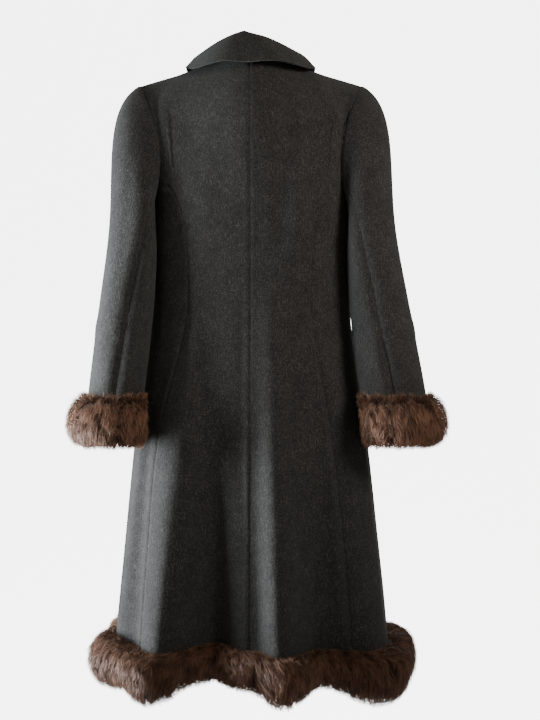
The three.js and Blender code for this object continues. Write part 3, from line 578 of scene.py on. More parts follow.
def sleeve_piece(name, stations, side, columns, seam_from, seam_to):
    share, level = np.meshgrid(crowded(columns), sleeve_levels)
    low, high = (mix(seam[0], seam[1], level / 2) for seam in (seam_from, seam_to))

    def at(share_at, level_at):
        return sleeve_point(stations, side, mix(low, high, share_at), level_at)

    along = at(share + probe_share, level) - at(share - probe_share, level)
    down = at(share, np.minimum(level + probe_share, 2)) - at(share, level - probe_share)
    points = relaxed(at(share, level), relax_share * bump_of(level - 0.9, 0.4), relax_rounds)
    inward = grid_normals(points, unit(np.cross(along, down)))
    left, right, top, end = edge_distances(points)
    beside = np.minimum(left, right)
    points = inset_edges(points, inward, edge_inset)
    rise = sleeve_relief(mix(low, high, share), level) * ease(beside / 10) * ease(top / 25) * ease(end / 20)
    is_under = seam_from == back_seam
    rise += seam_fold(left, level, back_bulge) if is_under else seam_fold(right, level, front_bulge)
    dip = np.maximum(seam_dip(beside, top) + seam_dip(top, left) * (top < 25), -dip_most)
    outer = points - inward * (rise + dip)[..., None]
    inner = inset_edges(points - inward * (rise - cloth_thickness)[..., None], inward, -allowance)
    # The seam allowance of the armhole lies under the edge of the body
    tuck = unit(points[0] - points[2]) * tuck_length + inward[0] * tuck_depth
    flip = np.array([side, 1, 1])
    return wall_object(name, *(np.concatenate([(sheet[0] + tuck)[None], sheet]) * flip
                               for sheet in (outer, inner)))


for label, stations, side in (("left", sleeve_left, 1), ("right", sleeve_right, -1)):
    panels[f"sleeve_top_{label}"] = sleeve_piece(
        f"panel_sleeve_top_{label}", stations, side, 44, front_seam_before, back_seam)
    panels[f"sleeve_under_{label}"] = sleeve_piece(
        f"panel_sleeve_under_{label}", stations, side, 30, back_seam, front_seam)
print("sleeve pieces:", [name for name in panels if name.startswith("sleeve")])

# %% [markdown]
# ## The turned-down collar
# The collar is one strip: it stands up from the neck seam, rolls over, and falls outside. It could be two
# pieces, a stand and a fall, but a soft wool collar folds in one. The highest place of its roll lies a
# little to the coat's left of the centre back, as in the photograph.

# %% Make the collar
collar_clearance = 0.8
roll_pull = 26
back_point = 0.07  # how far the roll's highest place is drawn to one side of the centre back
collar_tuck, collar_tuck_in = 8, 2
collar_sections = table(
    "around seam_x seam_y seam_z roll_x roll_y roll_z edge_x edge_y edge_z", [
        (0, 0, 74, 0, 0, 70, 31, 0, 100, -27), (0.2, 33, 69, -1, 34, 66, 21, 44, 96, -25),
        (0.4, 68, 38, -6, 72, 38, 8, 95, 58, -28), (0.5, 80, 8, -10, 86, 8, 3, 108, 10, -14),
        (0.7, 66, -48, -46, 72, -54, -30, 92, -76, -48), (0.87, 30, -83, -78, 34, -93, -66, 56, -112, -96),
        (1, 3, -88, -86, 3, -98, -73, 16, -116, -118)])


def collar_point(around, drop):
    around, drop = np.broadcast_arrays(np.asarray(around, float), np.asarray(drop, float))
    place = np.abs(around)
    seam, roll, edge = (smooth_points(collar_sections, "around", place, f"{part}_x {part}_y {part}_z")
                        for part in ("seam", "roll", "edge"))
    seam[..., 2] += collar_clearance
    roll[..., 2] = smooth(collar_sections, "around", "roll_z", np.abs(around - back_point * (1 - place) ** 2))
    outward = unit((edge - seam) * np.array([1, 1, 0]))
    seam = seam - outward * (cloth_thickness + collar_clearance)
    rising = hermite(seam, roll - seam, roll, outward * roll_pull, np.clip(drop, 0, 1)[..., None])
    falling = hermite(roll, outward * roll_pull, edge, edge - roll, np.clip(drop - 1, 0, 1)[..., None])
    points = np.where((drop <= 1)[..., None], rising, falling)
    points[..., 0] *= np.where(around < 0, -1, 1)
    return points


def make_collar():
    around, drop = np.meshgrid(np.linspace(-1, 1, 121), np.linspace(0, 2, 41))
    points = collar_point(around, drop)
    before, after = np.maximum(around - 0.01, -1), np.minimum(around + 0.01, 1)
    rise = collar_point(around, np.minimum(drop + 0.01, 2)) - collar_point(around, np.maximum(drop - 0.01, 0))
    inward = unit(np.cross(collar_point(after, drop) - collar_point(before, drop), rise))
    # The fall waves a little, and its lower edge and its two ends turn in
    wave = 0.9 * np.sin(around * 9 + 1) * ease((drop - 1.1) * 1.5)
    wave = wave + 0.5 * np.sin(around * 21) * ease(drop - 1.2)
    edge_roll = -1.1 * ease((drop - 1.9) * 10) - 0.8 * ease((np.abs(around) - 0.985) * 66)
    outer = points - inward * (wave + edge_roll)[..., None]
    inner = points + inward * (cloth_thickness - wave)[..., None]
    # The seam allowance of the neck lies inside the body's edge, so that no light passes the seam
    tuck = unit(points[0] - points[2]) * collar_tuck - inward[0] * collar_tuck_in
    return wall_object("panel_collar", *(np.concatenate([(sheet[0] + tuck)[None], sheet])
                                         for sheet in (outer, inner)))


panels["collar"] = make_collar()
print("collar:", len(panels["collar"].data.polygons), "faces")

# %% [markdown]
# ## Fur bands: skin and underfur
# Each fur band is a strip of pelt sewn round the edge of the cloth. It has a dense underfur, which hides
# the skin, and long guard hairs. The solid of a band gives how far its hair reaches. So we keep two
# outlines of each band: an inner one for the underfur, which is a closed body, and the outer one, where
# the hair tips end.

# %% Outlines of the fur bands
cuff_reach = table("out up", [
    (1.3, 42), (14, 48), (26, 36), (33, 10), (32, -14), (20, -34), (3, -40), (-10, -33), (-13, -14), (-9, -1),
    (1.3, -0.6)])
cuff_under = table("out up", [
    (1.2, 30), (8, 33), (15, 24), (20, 6), (19, -10), (12, -22), (2, -26), (-5, -22), (-8, -11), (-6, -2),
    (1.2, -0.8)])
hem_reach = table("out up", [
    (2.4, 30), (20, 32), (35, 20), (44, -4), (40, -30), (24, -49), (2, -54), (-14, -42), (-18, -18),
    (-12, -2.6), (2.4, -1.5)])
hem_under = table("out up", [
    (1.6, 19), (11, 21), (22, 12), (28, -5), (25, -22), (15, -34), (1, -37), (-9, -29), (-12, -14), (-8, -3),
    (1.6, -1.8)])
# How high and how low the hem's fur reaches, and how far the cuffs' fur stands out, which is flat at the body
hem_tops = table("turn share", [
    (0, 0.6), (28, 0.45), (50, 0.5), (75, 0.95), (180, 0.8), (255, 0.35), (320, 0.35), (360, 0.6)])
hem_lows = table("turn share", [
    (0, 1), (38, 1.1), (75, 1.05), (250, 1), (288, 1.3), (308, 1.35), (332, 1.05), (360, 1)])
cuff_press = table("around share", [(0, 1), (0.3, 0.95), (0.5, 0.25), (0.7, 0.95), (1, 1)])
hem_front_end, lap_side_end = 173.0, 5.0
lobe_swell, lobe_fold = 0.15, 25
fur_clearance = 3.0
skin_reach = 2  # an outline's rows nearer than this to the cloth stay where they are


def outline_at(outline, place):
    count = len(outline["out"])
    place = np.mod(place, 1) * count
    low = np.floor(place).astype(int)
    share = place - low
    around = [np.stack([outline["out"][(low + step) % count], outline["up"][(low + step) % count]], -1)
              for step in (-1, 0, 1, 2)]
    leaving, arriving = (around[2] - around[0]) / 2, (around[3] - around[1]) / 2
    smoothed = hermite(around[1], leaving, around[2], arriving, share[..., None])
    return smoothed[..., 0], smoothed[..., 1]


def cuff_point(stations, side, outline, around, place):
    out, up = outline_at(outline, place)
    z = sleeve_end + up
    seat = sleeve_ring(stations, side, around, np.maximum(z, sleeve_end))
    angle = 2 * np.pi * around
    outward = np.stack([np.cos(angle), np.sin(angle), 0 * angle], -1)
    press = smooth(cuff_press, "around", "share", np.mod(around, 1))
    points = seat + outward * np.where(out > skin_reach, out * press, out)[..., None]
    inside = reach_from_body(points, side, fur_clearance)
    points = np.where((inside < 1)[..., None], points / inside[..., None], points)
    points[..., 2] = z
    return points * np.array([side, 1, 1])


def hem_point(outline, turn, place):
    out, up = outline_at(outline, place)
    lobe = 1 + lobe_swell * np.clip(fold_height(turn, hem_level) / lobe_fold, -1, 1)
    top, low = (smooth(rows, "turn", "share", np.mod(turn, 360)) for rows in (hem_tops, hem_lows))
    z = hem_level + up * np.where(up > 0, top, low * lobe)
    seat = ring_point(turn, np.maximum(z, hem_level))
    along = np.cos(np.radians(turn))
    depth = np.where(along > 0, body_sections["back"][0], body_sections["front"][0])
    across = np.sin(np.radians(turn)) / body_sections["half_width"][0]
    plain = unit(np.stack([across, along / depth, 0 * along], -1))
    points = seat + plain * np.where(out > skin_reach, out * lobe, out)[..., None]
    points[..., 2] = z
    return points


print("outline of the hem at a quarter:", outline_at(hem_reach, np.array([0.25])))

# %% [markdown]
# ## Bodies for the underfur
# A pelt is too dense to see its skin, so a dark solid body stands for skin and underfur together. It is
# swept round the band from the inner outline: the cuffs close on themselves, and the hem has two ends at
# the front. Without it, the light of the room would show between the hairs.

# %% Underfur bodies
around_rows, hem_rows, outline_rows = 73, 190, 31


def ring_object(name, points, closed):
    sections, size = points.shape[:2]
    first = np.arange(sections if closed else sections - 1)[:, None] * size
    second = (first + size) % (sections * size)
    side = np.arange(size)
    beside = (side + 1) % size
    faces = np.stack(np.broadcast_arrays(first + side, second + side, second + beside, first + beside), -1)
    faces = faces.reshape(-1, 4).tolist()
    if not closed:
        end = (sections - 1) * size
        faces += [[*range(size - 1, -1, -1)], [*range(end, end + size)]]
    piece = mesh_object(name, points.reshape(-1, 3), faces)
    bpy.context.view_layer.objects.active = piece
    bpy.ops.object.mode_set(mode="EDIT")
    bpy.ops.mesh.select_all(action="SELECT")
    bpy.ops.mesh.normals_make_consistent(inside=False)
    bpy.ops.object.mode_set(mode="OBJECT")
    return piece


hem_span = (360 - hem_front_end - lap_side_end, 360 + hem_front_end)
outline_places = np.linspace(0, 1, outline_rows)[:-1]
fur_bodies = {}
for label, stations, side in (("left", sleeve_left, 1), ("right", sleeve_right, -1)):
    around, place = np.meshgrid(np.linspace(0, 1, around_rows)[:-1], outline_places, indexing="ij")
    points = cuff_point(stations, side, cuff_under, around, place)
    fur_bodies[f"fur_cuff_{label}"] = ring_object(f"underfur_cuff_{label}", points, True)
turn, place = np.meshgrid(np.linspace(*hem_span, hem_rows), outline_places, indexing="ij")
fur_bodies["fur_hem"] = ring_object("underfur_hem", hem_point(hem_under, turn, place), False)
print("underfur bodies:", {name: len(body.data.polygons) for name, body in fur_bodies.items()})

# %% [markdown]
# ## Guard hair
# The photograph shows long, soft hair that falls in small locks. Blender's hair system would draw it, but
# its hairs are not a mesh. So each hair here is a narrow tapered strip of three parts, and numpy makes all
# of a band's strips in one go. Hairs of one lock share a common tip place, which pulls them together. The
# hairs beside the cloth lie up over it and hide the seam, and all the rest bend out and hang.

# %% Hair strips
hair_seed = 41
lock_kinds = 4096
root_span, root_start = 0.80, -0.005  # the share of the outline that bears hair: not the side at the cloth
tip_start = -0.012
hang_at_cloth, hang_below, hang_ease = -0.03, 0.075, 0.14
pull_mean, pull_spread, pull_most = 0.45, 0.22, 0.95
reach_mean, reach_spread, reach_least, reach_most = 0.88, 0.13, 0.45, 1.07
bend_out, bend_on = 0.55, 0.2
tip_jitter, jitter_most = 2.2, 5
hair_widths = (0.4, 0.85)
strip_steps, strip_tapers = (0.0, 0.4, 0.75, 1.0), (1.0, 0.9, 0.62)
strip_faces = np.array([(0, 1, 3), (0, 3, 2), (2, 3, 5), (2, 5, 4), (4, 5, 6)])


def hair_object(name, roots, bends, tips, facing, width, tone):
    count = len(roots)
    line = [roots * (1 - s) ** 2 + bends * 2 * s * (1 - s) + tips * s * s for s in np.array(strip_steps)]
    ahead = unit(tips - roots)
    aside = unit(np.cross(ahead, facing)) * (width / 2)[:, None]
    rings = [line[row] + sign * aside * taper for row, taper in enumerate(strip_tapers) for sign in (-1, 1)]
    corners = len(rings) + 1
    points = np.stack([*rings, line[-1]], 1).reshape(-1, 3) * MM
    index = (strip_faces[None] + corners * np.arange(count)[:, None, None]).reshape(-1)
    mesh = bpy.data.meshes.new(name)
    mesh.vertices.add(len(points))
    mesh.vertices.foreach_set("co", points.ravel())
    mesh.loops.add(len(index))
    mesh.loops.foreach_set("vertex_index", index)
    mesh.polygons.add(len(index) // 3)
    mesh.polygons.foreach_set("loop_start", np.arange(0, len(index), 3))
    mesh.polygons.foreach_set("use_smooth", np.ones(len(index) // 3, bool))
    along = np.tile(np.repeat(strip_steps, 2)[:corners], count)
    for label, values in (("along", along), ("tone", np.repeat(tone, corners))):
        mesh.attributes.new(label, "FLOAT", "POINT").data.foreach_set("value", values)
    mesh.update()
    piece = bpy.data.objects.new(name, mesh)
    bpy.context.scene.collection.objects.link(piece)
    return piece


def grow_hair(name, point_of, span, ends, count, lock, darker, seed):
    # point_of(outline kind, place along the band, place round the section); span is this piece's part of the
    # band, and ends are the band's own ends
    chance = np.random.default_rng(seed)
    band = chance.uniform(*span, count)
    place = chance.beta(1.05, 1.15, count) * root_span + root_start
    roots = point_of("under", band, place)
    normal = unit(roots - point_of("middle", band, place))
    step = chance.normal(0, 1, (count, 2))
    # The lock of a hair: a cell of a coarse net over the band, with its own tip place
    cell = np.floor(np.stack([band / lock[0], place / lock[1]], -1)).astype(int)
    number = (cell[:, 0] * 7919 + cell[:, 1] * 104729) % lock_kinds
    lock_shift = np.random.default_rng(hair_seed).normal(0, 1, (lock_kinds, 3))[number]
    centre = (cell + 0.5) * np.array(lock)
    pull = np.clip(chance.normal(pull_mean, pull_spread, count), 0, pull_most)
    tip_band = mix(band, centre[:, 0], pull) + lock[0] * (0.55 * lock_shift[:, 0] + 0.35 * step[:, 0])
    # The hair beside the cloth lies up over it, and all the rest hangs
    hang = mix(hang_at_cloth, hang_below, ease(place / hang_ease))
    tip_place = mix(place, centre[:, 1], pull) + hang + lock[1] * (0.5 * lock_shift[:, 1] + 0.35 * step[:, 1])
    tip_band, tip_place = np.clip(tip_band, *ends), np.maximum(tip_place, tip_start)
    reach = chance.normal(reach_mean, reach_spread, count) + 0.07 * lock_shift[:, 2]
    reach = np.clip(reach, reach_least, reach_most)
    tips = mix(point_of("under", tip_band, tip_place), point_of("reach", tip_band, tip_place), reach[:, None])
    length = np.linalg.norm(tips - roots, axis=-1, keepdims=True)
    bends = roots + normal * length * bend_out + (tips - roots) * bend_on
    facing = unit(normal + 0.45 * chance.normal(0, 1, (count, 3)))
    tips += np.clip(chance.normal(0, tip_jitter, (count, 3)), -jitter_most, jitter_most)
    width = chance.uniform(*hair_widths, count)
    return hair_object(name, roots, bends, tips, facing, width, chance.uniform(0, 1, count) + darker)


def shrunk(outline):
    return {"out": outline["out"] * 0.35 + 1.5, "up": outline["up"] * 0.35 - 2.0}


def cuff_outlines(stations, side):
    kinds = {"under": cuff_under, "reach": cuff_reach, "middle": shrunk(cuff_under)}
    return lambda kind, band, place: cuff_point(stations, side, kinds[kind], band, place)


hem_kinds = {"under": hem_under, "reach": hem_reach, "middle": shrunk(hem_under)}
hem_parts, cuff_hairs, hem_hairs = 4, 22000, 26000
cuff_lock, hem_lock = (0.022, 0.045), (2.6, 0.045)
cuff_darker, hem_darker = -0.15, 0.12
hairs = {}
for label, stations, side in (("left", sleeve_left, 1), ("right", sleeve_right, -1)):
    hairs[f"fur_cuff_{label}"] = [grow_hair(
        f"hair_cuff_{label}", cuff_outlines(stations, side), (0, 1), (-1, 2), cuff_hairs, cuff_lock,
        cuff_darker, hair_seed + side)]
hem_cuts = np.linspace(*hem_span, hem_parts + 1)
hairs["fur_hem"] = [grow_hair(
    f"hair_hem_{part + 1}", lambda kind, band, place: hem_point(hem_kinds[kind], band, place),
    (hem_cuts[part], hem_cuts[part + 1]), hem_span, hem_hairs, hem_lock, hem_darker, hair_seed + 10 + part)
    for part in range(hem_parts)]
print("hair strips:", 2 * cuff_hairs + hem_parts * hem_hairs)

# %% [markdown]
# ## Buttons
# The front closes with four plain buttons. A button is turned from a round blank: a raised rim, a dished
# middle and four holes for the thread. A lathed profile gives the rim and the dish, and a Boolean modifier
# drills the holes. Its place is its solid's own box.

# %% Make the buttons
def add_modifier(piece, kind, **settings):
    modifier = piece.modifiers.new(kind.title(), kind)
    for name, value in settings.items():
        setattr(modifier, name, value)
    return modifier


def apply_modifiers(piece):
    graph = bpy.context.evaluated_depsgraph_get()
    finished = bpy.data.meshes.new_from_object(piece.evaluated_get(graph))
    piece.modifiers.clear()
    piece.data = finished


def lathe(name, profile, sides):
    angle = np.linspace(0, 2 * np.pi, sides, endpoint=False)[:, None]
    radius, height = np.array(profile, float).T
    x, y, z = radius * np.cos(angle), radius * np.sin(angle), height + 0 * angle
    rings = np.stack(np.broadcast_arrays(x, y, z), -1)
    size = len(profile)
    corner = np.arange(sides)[:, None] * size + np.arange(size - 1)
    beside = (corner + size) % (sides * size)
    faces = np.stack([corner, beside, beside + 1, corner + 1], -1).reshape(-1, 4).tolist()
    caps = [[row * size for row in range(sides)][::-1], [row * size + size - 1 for row in range(sides)]]
    return mesh_object(name, rings.reshape(-1, 3), faces + caps)


button_profile = [
    (0.5, -2.5), (12.8, -2.5), (13.7, -2.0), (14, -1.0), (14, 0.8), (13.6, 1.9), (12.8, 2.5), (11.8, 2.45),
    (10.6, 1.7), (8.6, 1.25), (5, 1.1), (0.5, 1.1)]
hole_places = [(2.6, 2.6), (-2.6, 2.6), (-2.6, -2.6), (2.6, -2.6)]
hole_profile = [(0.2, -5), (1.05, -5), (1.05, 5), (0.2, 5)]
button_sides, hole_sides, thread_sides = 64, 16, 6
thread_radius, stitch_shifts = 0.32, (-0.35, 0, 0.35)
stitch_low, stitch_arch = 0.6, 1.3
front_rise = 204  # from the chest's level up to the neck at the centre front


def make_button(name):
    button = lathe(name, button_profile, button_sides)
    for x, y in hole_places:
        drill = lathe("drill", hole_profile, hole_sides)
        drill.data.transform(Matrix.Translation((x * MM, y * MM, 0)))
        add_modifier(button, "BOOLEAN", object=drill, operation="DIFFERENCE", solver="EXACT")
        apply_modifiers(button)
        bpy.data.objects.remove(drill)
    return button


def tube(points, radius, sides):
    # Vertices and faces of a round thread along points
    along = unit(np.gradient(points, axis=0))
    first = unit(np.cross(along, [0.31, 0.52, 0.79]))
    second = np.cross(along, first)
    angle = np.linspace(0, 2 * np.pi, sides, endpoint=False)
    ring = first[:, None] * np.cos(angle)[:, None] + second[:, None] * np.sin(angle)[:, None]
    verts = (points[:, None] + ring * radius).reshape(-1, 3)
    corner = np.arange(len(points) - 1)[:, None] * sides + np.arange(sides)
    beside = np.arange(len(points) - 1)[:, None] * sides + (np.arange(sides) + 1) % sides
    faces = np.stack([corner, beside, beside + sides, corner + sides], -1).reshape(-1, 4)
    return verts, faces


def thread_object(name, lines, radius):
    verts, faces, first = [], [], 0
    for line in lines:
        new_verts, new_faces = tube(line, radius, thread_sides)
        verts.append(new_verts)
        faces.append(new_faces + first)
        first += len(new_verts)
    return mesh_object(name, np.concatenate(verts), np.concatenate(faces).tolist())


def stitch_lines():
    arch = np.linspace(0, 1, 9)
    lines = []
    for a, b in ((0, 1), (3, 2)):
        for shift in stitch_shifts:
            start, end = np.array(hole_places[a]), np.array(hole_places[b])
            flat = mix(start, end, arch[:, None]) + np.array([0, shift])
            lines.append(np.column_stack([flat, stitch_low + stitch_arch * np.sin(arch * np.pi) ** 0.5]))
    return lines


def set_on_node(piece, node, normal):
    low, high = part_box(node)
    turn = normal.to_track_quat("Z", "Y").to_matrix().to_4x4()
    turn.translation = (low + high) / 2
    piece.data.transform(turn)


buttons = {}
button_heights = [-190.0, -300.0, -410.0, -520.0]
for row, height in enumerate(button_heights, 1):
    node = f"button_{row}"
    low_level = (height - hem_level) / (chest_level - hem_level)
    level = low_level if height < chest_level else 1 + (height - chest_level) / front_rise
    normal = Vector(body_normal(np.float64(180), np.float64(level)))
    buttons[node] = [make_button(f"plain_button_{row}"),
                     thread_object(f"button_thread_{row}", stitch_lines(), thread_radius)]
    for piece in buttons[node]:
        set_on_node(piece, node, normal)
print("buttons:", len(buttons), "with four holes each")

# %% [markdown]
# ## Finishes
# The cloth is a heathered charcoal wool: fibres of several greys are mixed before they are spun, then the
# cloth is shrunk until its weave hardly shows. We build that from noise at three scales: fine flecks,
# short fibres that lie along and across, and slow patches. A soft sheen stands for the raised nap.

# %% Helpers for materials
def new_material(name, uniform):
    # uniform: the shader's values that are the same all over the piece
    material = bpy.data.materials.new(name)
    material.use_nodes = True
    tree = material.node_tree
    tree.nodes.clear()
    output = tree.nodes.new("ShaderNodeOutputMaterial")
    shader = tree.nodes.new("ShaderNodeBsdfPrincipled")
    tree.links.new(shader.outputs["BSDF"], output.inputs["Surface"])
    for socket, value in uniform.items():
        shader.inputs[socket].default_value = value
    return material, tree, shader


def add_node(tree, kind, inputs=(), **settings):
    node = tree.nodes.new(kind)
    for name, value in settings.items():
        setattr(node, name, value)
    for name, value in dict(inputs).items():
        if isinstance(value, bpy.types.NodeSocket):
            tree.links.new(value, node.inputs[name])
        else:
            node.inputs[name].default_value = value
    return node


def own_place(tree):
    return add_node(tree, "ShaderNodeTexCoord").outputs["Object"]


def add_bump(tree, shader, height, strength, distance):
    bump = add_node(tree, "ShaderNodeBump", {"Height": height, "Strength": strength, "Distance": distance})
    tree.links.new(bump.outputs["Normal"], shader.inputs["Normal"])


def noise(tree, place, scale, detail=2.0, rough=0.5, stretch=(1, 1, 1)):
    mapped = add_node(tree, "ShaderNodeMapping", {"Vector": place, "Scale": stretch})
    values = {"Vector": mapped.outputs[0], "Scale": scale, "Detail": detail, "Roughness": rough}
    return add_node(tree, "ShaderNodeTexNoise", values).outputs["Fac"]


def ramp(tree, value, stops):
    node = add_node(tree, "ShaderNodeValToRGB", {"Fac": value})
    elements = node.color_ramp.elements
    elements[0].position, elements[1].position = stops[0][0], stops[-1][0]
    elements[0].color, elements[1].color = (*stops[0][1], 1), (*stops[-1][1], 1)
    for position, color in stops[1:-1]:
        elements.new(position).color = (*color, 1)
    return node.outputs["Color"]


def blend_colors(tree, kind, share, first, second):
    node = add_node(tree, "ShaderNodeMix", data_type="RGBA", blend_type=kind)
    for socket, value in ((node.inputs[0], share), (node.inputs[6], first), (node.inputs[7], second)):
        if isinstance(value, bpy.types.NodeSocket):
            tree.links.new(value, socket)
        else:
            socket.default_value = value
    return node.outputs[2]


def math_node(tree, operation, first, second):
    return add_node(tree, "ShaderNodeMath", {0: first, 1: second}, operation=operation).outputs[0]


def weighted(tree, value, weight):
    return math_node(tree, "MULTIPLY", value, weight)


def grey(value):
    # A faintly warm grey
    return (value, value * 0.99, value * 0.96)


print("grey of the light fibres:", grey(0.046))

# %% [markdown]
# ## The wool
# Heather comes from fibres, so the colour has three layers: dark and pale flecks, pale fibres that run
# down the cloth, and dark ones that cross them. The slow patches keep a large panel from looking printed.
# The same noise lifts the nap a little, in a bump that only the low light from the side brings out.

# %% Wool
black, white = (0, 0, 0), (1, 1, 1)


def make_wool():
    material, tree, shader = new_material("charcoal_wool", {
        "Roughness": 0.95, "Specular IOR Level": 0.05, "Sheen Weight": 0.04, "Sheen Roughness": 0.6,
        "Sheen Tint": (0.75, 0.78, 0.78, 1)})
    place = own_place(tree)
    fleck = noise(tree, place, 620, 3, 0.65)
    lengthwise = noise(tree, place, 520, 2, 0.6, (1.0, 1.0, 0.22))
    crosswise = noise(tree, place, 480, 2, 0.6, (0.24, 0.24, 1.0))
    patch = noise(tree, place, 34, 4, 0.6)
    base = ramp(tree, fleck, [
        (0.30, grey(0.005)), (0.47, grey(0.010)), (0.60, grey(0.019)), (0.74, grey(0.05))])
    light_fibre = ramp(tree, lengthwise, [(0.52, black), (0.72, white)])
    dark_fibre = ramp(tree, crosswise, [(0.54, black), (0.74, white)])
    color = blend_colors(tree, "MIX", weighted(tree, light_fibre, 0.38), base, (*grey(0.046), 1))
    color = blend_colors(tree, "MIX", weighted(tree, dark_fibre, 0.45), color, (*grey(0.004), 1))
    slow = ramp(tree, patch, [(0.3, grey(0.8)), (0.7, grey(1.12))])
    color = blend_colors(tree, "MULTIPLY", 1.0, color, slow)
    tree.links.new(color, shader.inputs["Base Color"])
    along, lumps = weighted(tree, lengthwise, 0.7), weighted(tree, noise(tree, place, 150, 3, 0.6), 1.2)
    pile = math_node(tree, "ADD", noise(tree, place, 900, 4, 0.7), along)
    pile = math_node(tree, "ADD", pile, lumps)
    add_bump(tree, shader, pile, 0.55, 0.0012)
    return material


wool = make_wool()
for piece in panels.values():
    piece.data.materials.append(wool)
print("wool nodes:", len(wool.node_tree.nodes))

# %% [markdown]
# ## Fur and button finishes
# A guard hair is dark at its root and lighter towards its tip, and no two are alike. Each strip carries
# two numbers for that, made with the strips: how far along it a point is, and its own tone. The underfur
# is darker, and the buttons are plain polished plastic with faint marbling.

# %% Fur, thread and button materials
def make_hair():
    material, tree, shader = new_material("brown_guard_hair", {
        "Roughness": 0.6, "Specular IOR Level": 0.16, "Sheen Weight": 0.06,
        "Sheen Tint": (0.9, 0.72, 0.55, 1)})
    along = add_node(tree, "ShaderNodeAttribute", attribute_name="along").outputs["Fac"]
    tone = add_node(tree, "ShaderNodeAttribute", attribute_name="tone").outputs["Fac"]
    warm = ramp(tree, along, [(0.0, (0.012, 0.005, 0.003)), (0.35, (0.045, 0.019, 0.010)),
                              (0.75, (0.105, 0.048, 0.026)), (1.0, (0.18, 0.093, 0.055))])
    dark = ramp(tree, along, [(0.0, (0.008, 0.004, 0.003)), (0.6, (0.030, 0.013, 0.008)),
                              (1.0, (0.060, 0.028, 0.017))])
    locks = noise(tree, own_place(tree), 42, 3, 0.6)
    share = math_node(tree, "ADD", weighted(tree, tone, 0.8), weighted(tree, locks, 0.7))
    share = ramp(tree, share, [(0.50, black), (1.10, white)])
    tree.links.new(blend_colors(tree, "MIX", share, warm, dark), shader.inputs["Base Color"])
    return material


def make_underfur():
    material, tree, shader = new_material("dark_underfur", {"Roughness": 0.9})
    fibres = noise(tree, own_place(tree), 420, 4, 0.7, (1, 1, 0.3))
    color = ramp(tree, fibres, [(0.3, (0.010, 0.005, 0.003)), (0.7, (0.055, 0.028, 0.016))])
    tree.links.new(color, shader.inputs["Base Color"])
    add_bump(tree, shader, fibres, 0.8, 0.002)
    return material


def make_plastic(name, low, high, rough):
    material, tree, shader = new_material(name, {})
    place = own_place(tree)
    marble = noise(tree, place, 90, 4, 0.6, (1, 1, 2.4))
    tree.links.new(ramp(tree, marble, [(0.35, low), (0.7, high)]), shader.inputs["Base Color"])
    scuff = noise(tree, place, 700, 3, 0.6)
    worn = add_node(tree, "ShaderNodeMapRange", {"Value": scuff, 3: rough - 0.08, 4: rough + 0.12})
    tree.links.new(worn.outputs[0], shader.inputs["Roughness"])
    add_bump(tree, shader, scuff, 0.08, 0.0002)
    return material


guard_hair, underfur = make_hair(), make_underfur()
button_plastic = make_plastic("button_plastic_dark", (0.012, 0.011, 0.010), (0.05, 0.043, 0.038), 0.34)
thread = make_plastic("sewing_thread", (0.02, 0.02, 0.019), (0.07, 0.07, 0.066), 0.8)
for body in fur_bodies.values():
    body.data.materials.append(underfur)
for strips in hairs.values():
    for piece in strips:
        piece.data.materials.append(guard_hair)
for round_button, stitches in buttons.values():
    round_button.data.materials.append(button_plastic)
    stitches.data.materials.append(thread)
print("materials:", [material.name for material in bpy.data.materials])

# %% [markdown]
# ## Every piece on its body
# The coat has no joint, so everything rides on the one body. Each piece is parented to it, and the solid
# that it stands for is hidden.


def settle(piece, node):
    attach(piece, "root")
    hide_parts(node)


for node, piece in panels.items():
    settle(piece, node)
for node, body in fur_bodies.items():
    for piece in [body, *hairs[node]]:
        settle(piece, node)
for node, pieces in buttons.items():
    for piece in pieces:
        settle(piece, node)

# %% [markdown]
# ## Floor and light
# The photograph's background is plain white, and daylight comes in low from the left, so the left sleeve
# and the crests of the skirt are light and all that turns away is nearly black. A white backdrop that
# glows stands far behind the coat, over a pale floor, and lights only the side that we don't see. A low
# window light draws the crests, a weak one above it lights the sleeve, and a weak warm light of the room
# keeps the right side from going black. A sun would give hard edges that the photograph doesn't have.

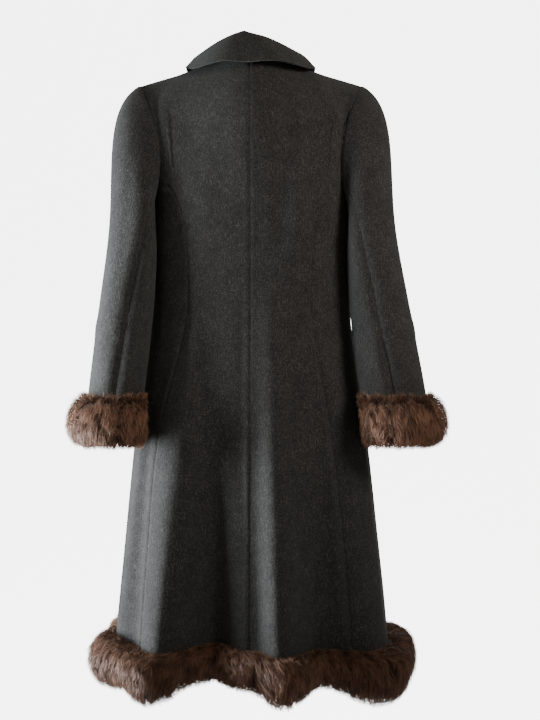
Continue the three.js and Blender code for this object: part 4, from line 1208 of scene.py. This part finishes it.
# %% Floor, light and world
def staged_sheet(name, corners, color, glow):
    sheet = mesh_object(name, corners, [(0, 1, 2, 3)])
    finish = {"Base Color": (*color, 1), "Roughness": 0.9,
              "Emission Color": (1, 1, 1, 1), "Emission Strength": glow}
    sheet.data.materials.append(new_material(name, finish)[0])


def soft_light(name, place, aim, size, power, color, spread):
    light = bpy.data.objects.new(name, bpy.data.lights.new(name, "AREA"))
    light.data.shape = "RECTANGLE"
    light.data.size, light.data.size_y = size
    light.data.energy, light.data.color, light.data.spread = power, color, math.radians(spread)
    light.location = place
    light.rotation_euler = (Vector(aim) - light.location).to_track_quat("-Z", "Y").to_euler()
    bpy.context.scene.collection.objects.link(light)


floor_half, floor_level, wall_place, wall_half, wall_top = 9000, -3300, -6000, 2600, 2400
floor_corners = [(-floor_half, -floor_half, floor_level), (floor_half, -floor_half, floor_level),
                 (floor_half, floor_half, floor_level), (-floor_half, floor_half, floor_level)]
wall_corners = [(-wall_half, wall_place, floor_level), (wall_half, wall_place, floor_level),
                (wall_half, wall_place, wall_top), (-wall_half, wall_place, wall_top)]
staged_sheet("pale_floor", floor_corners, (0.82, 0.82, 0.82), 0)
staged_sheet("white_backdrop", wall_corners, (0.9, 0.9, 0.9), 5)
daylight, lamplight = (0.9, 0.95, 1.0), (1.0, 0.93, 0.85)
# Place, aim and size in metres, power in watts, colour and spread in degrees
soft_light("window_light", (1.15, 0.06, -0.85), (0.1, 0, -0.7), (0.14, 0.7), 120, daylight, 180)
soft_light("window_upper", (1.1, 0.28, -0.4), (0.2, 0.08, -0.42), (0.25, 0.5), 8.5, daylight, 70)
soft_light("room_light", (-1.0, 1.2, 0.2), (-0.16, 0.1, -0.28), (0.5, 0.5), 5.0, lamplight, 60)
world = bpy.data.worlds.new("bright_room")
world.use_nodes = True
background = world.node_tree.nodes["Background"]
background.inputs["Color"].default_value = (1.0, 0.96, 0.89, 1)
background.inputs["Strength"].default_value = 0.6
bpy.context.scene.world = world
print("lights:", [light.name for light in bpy.data.lights])
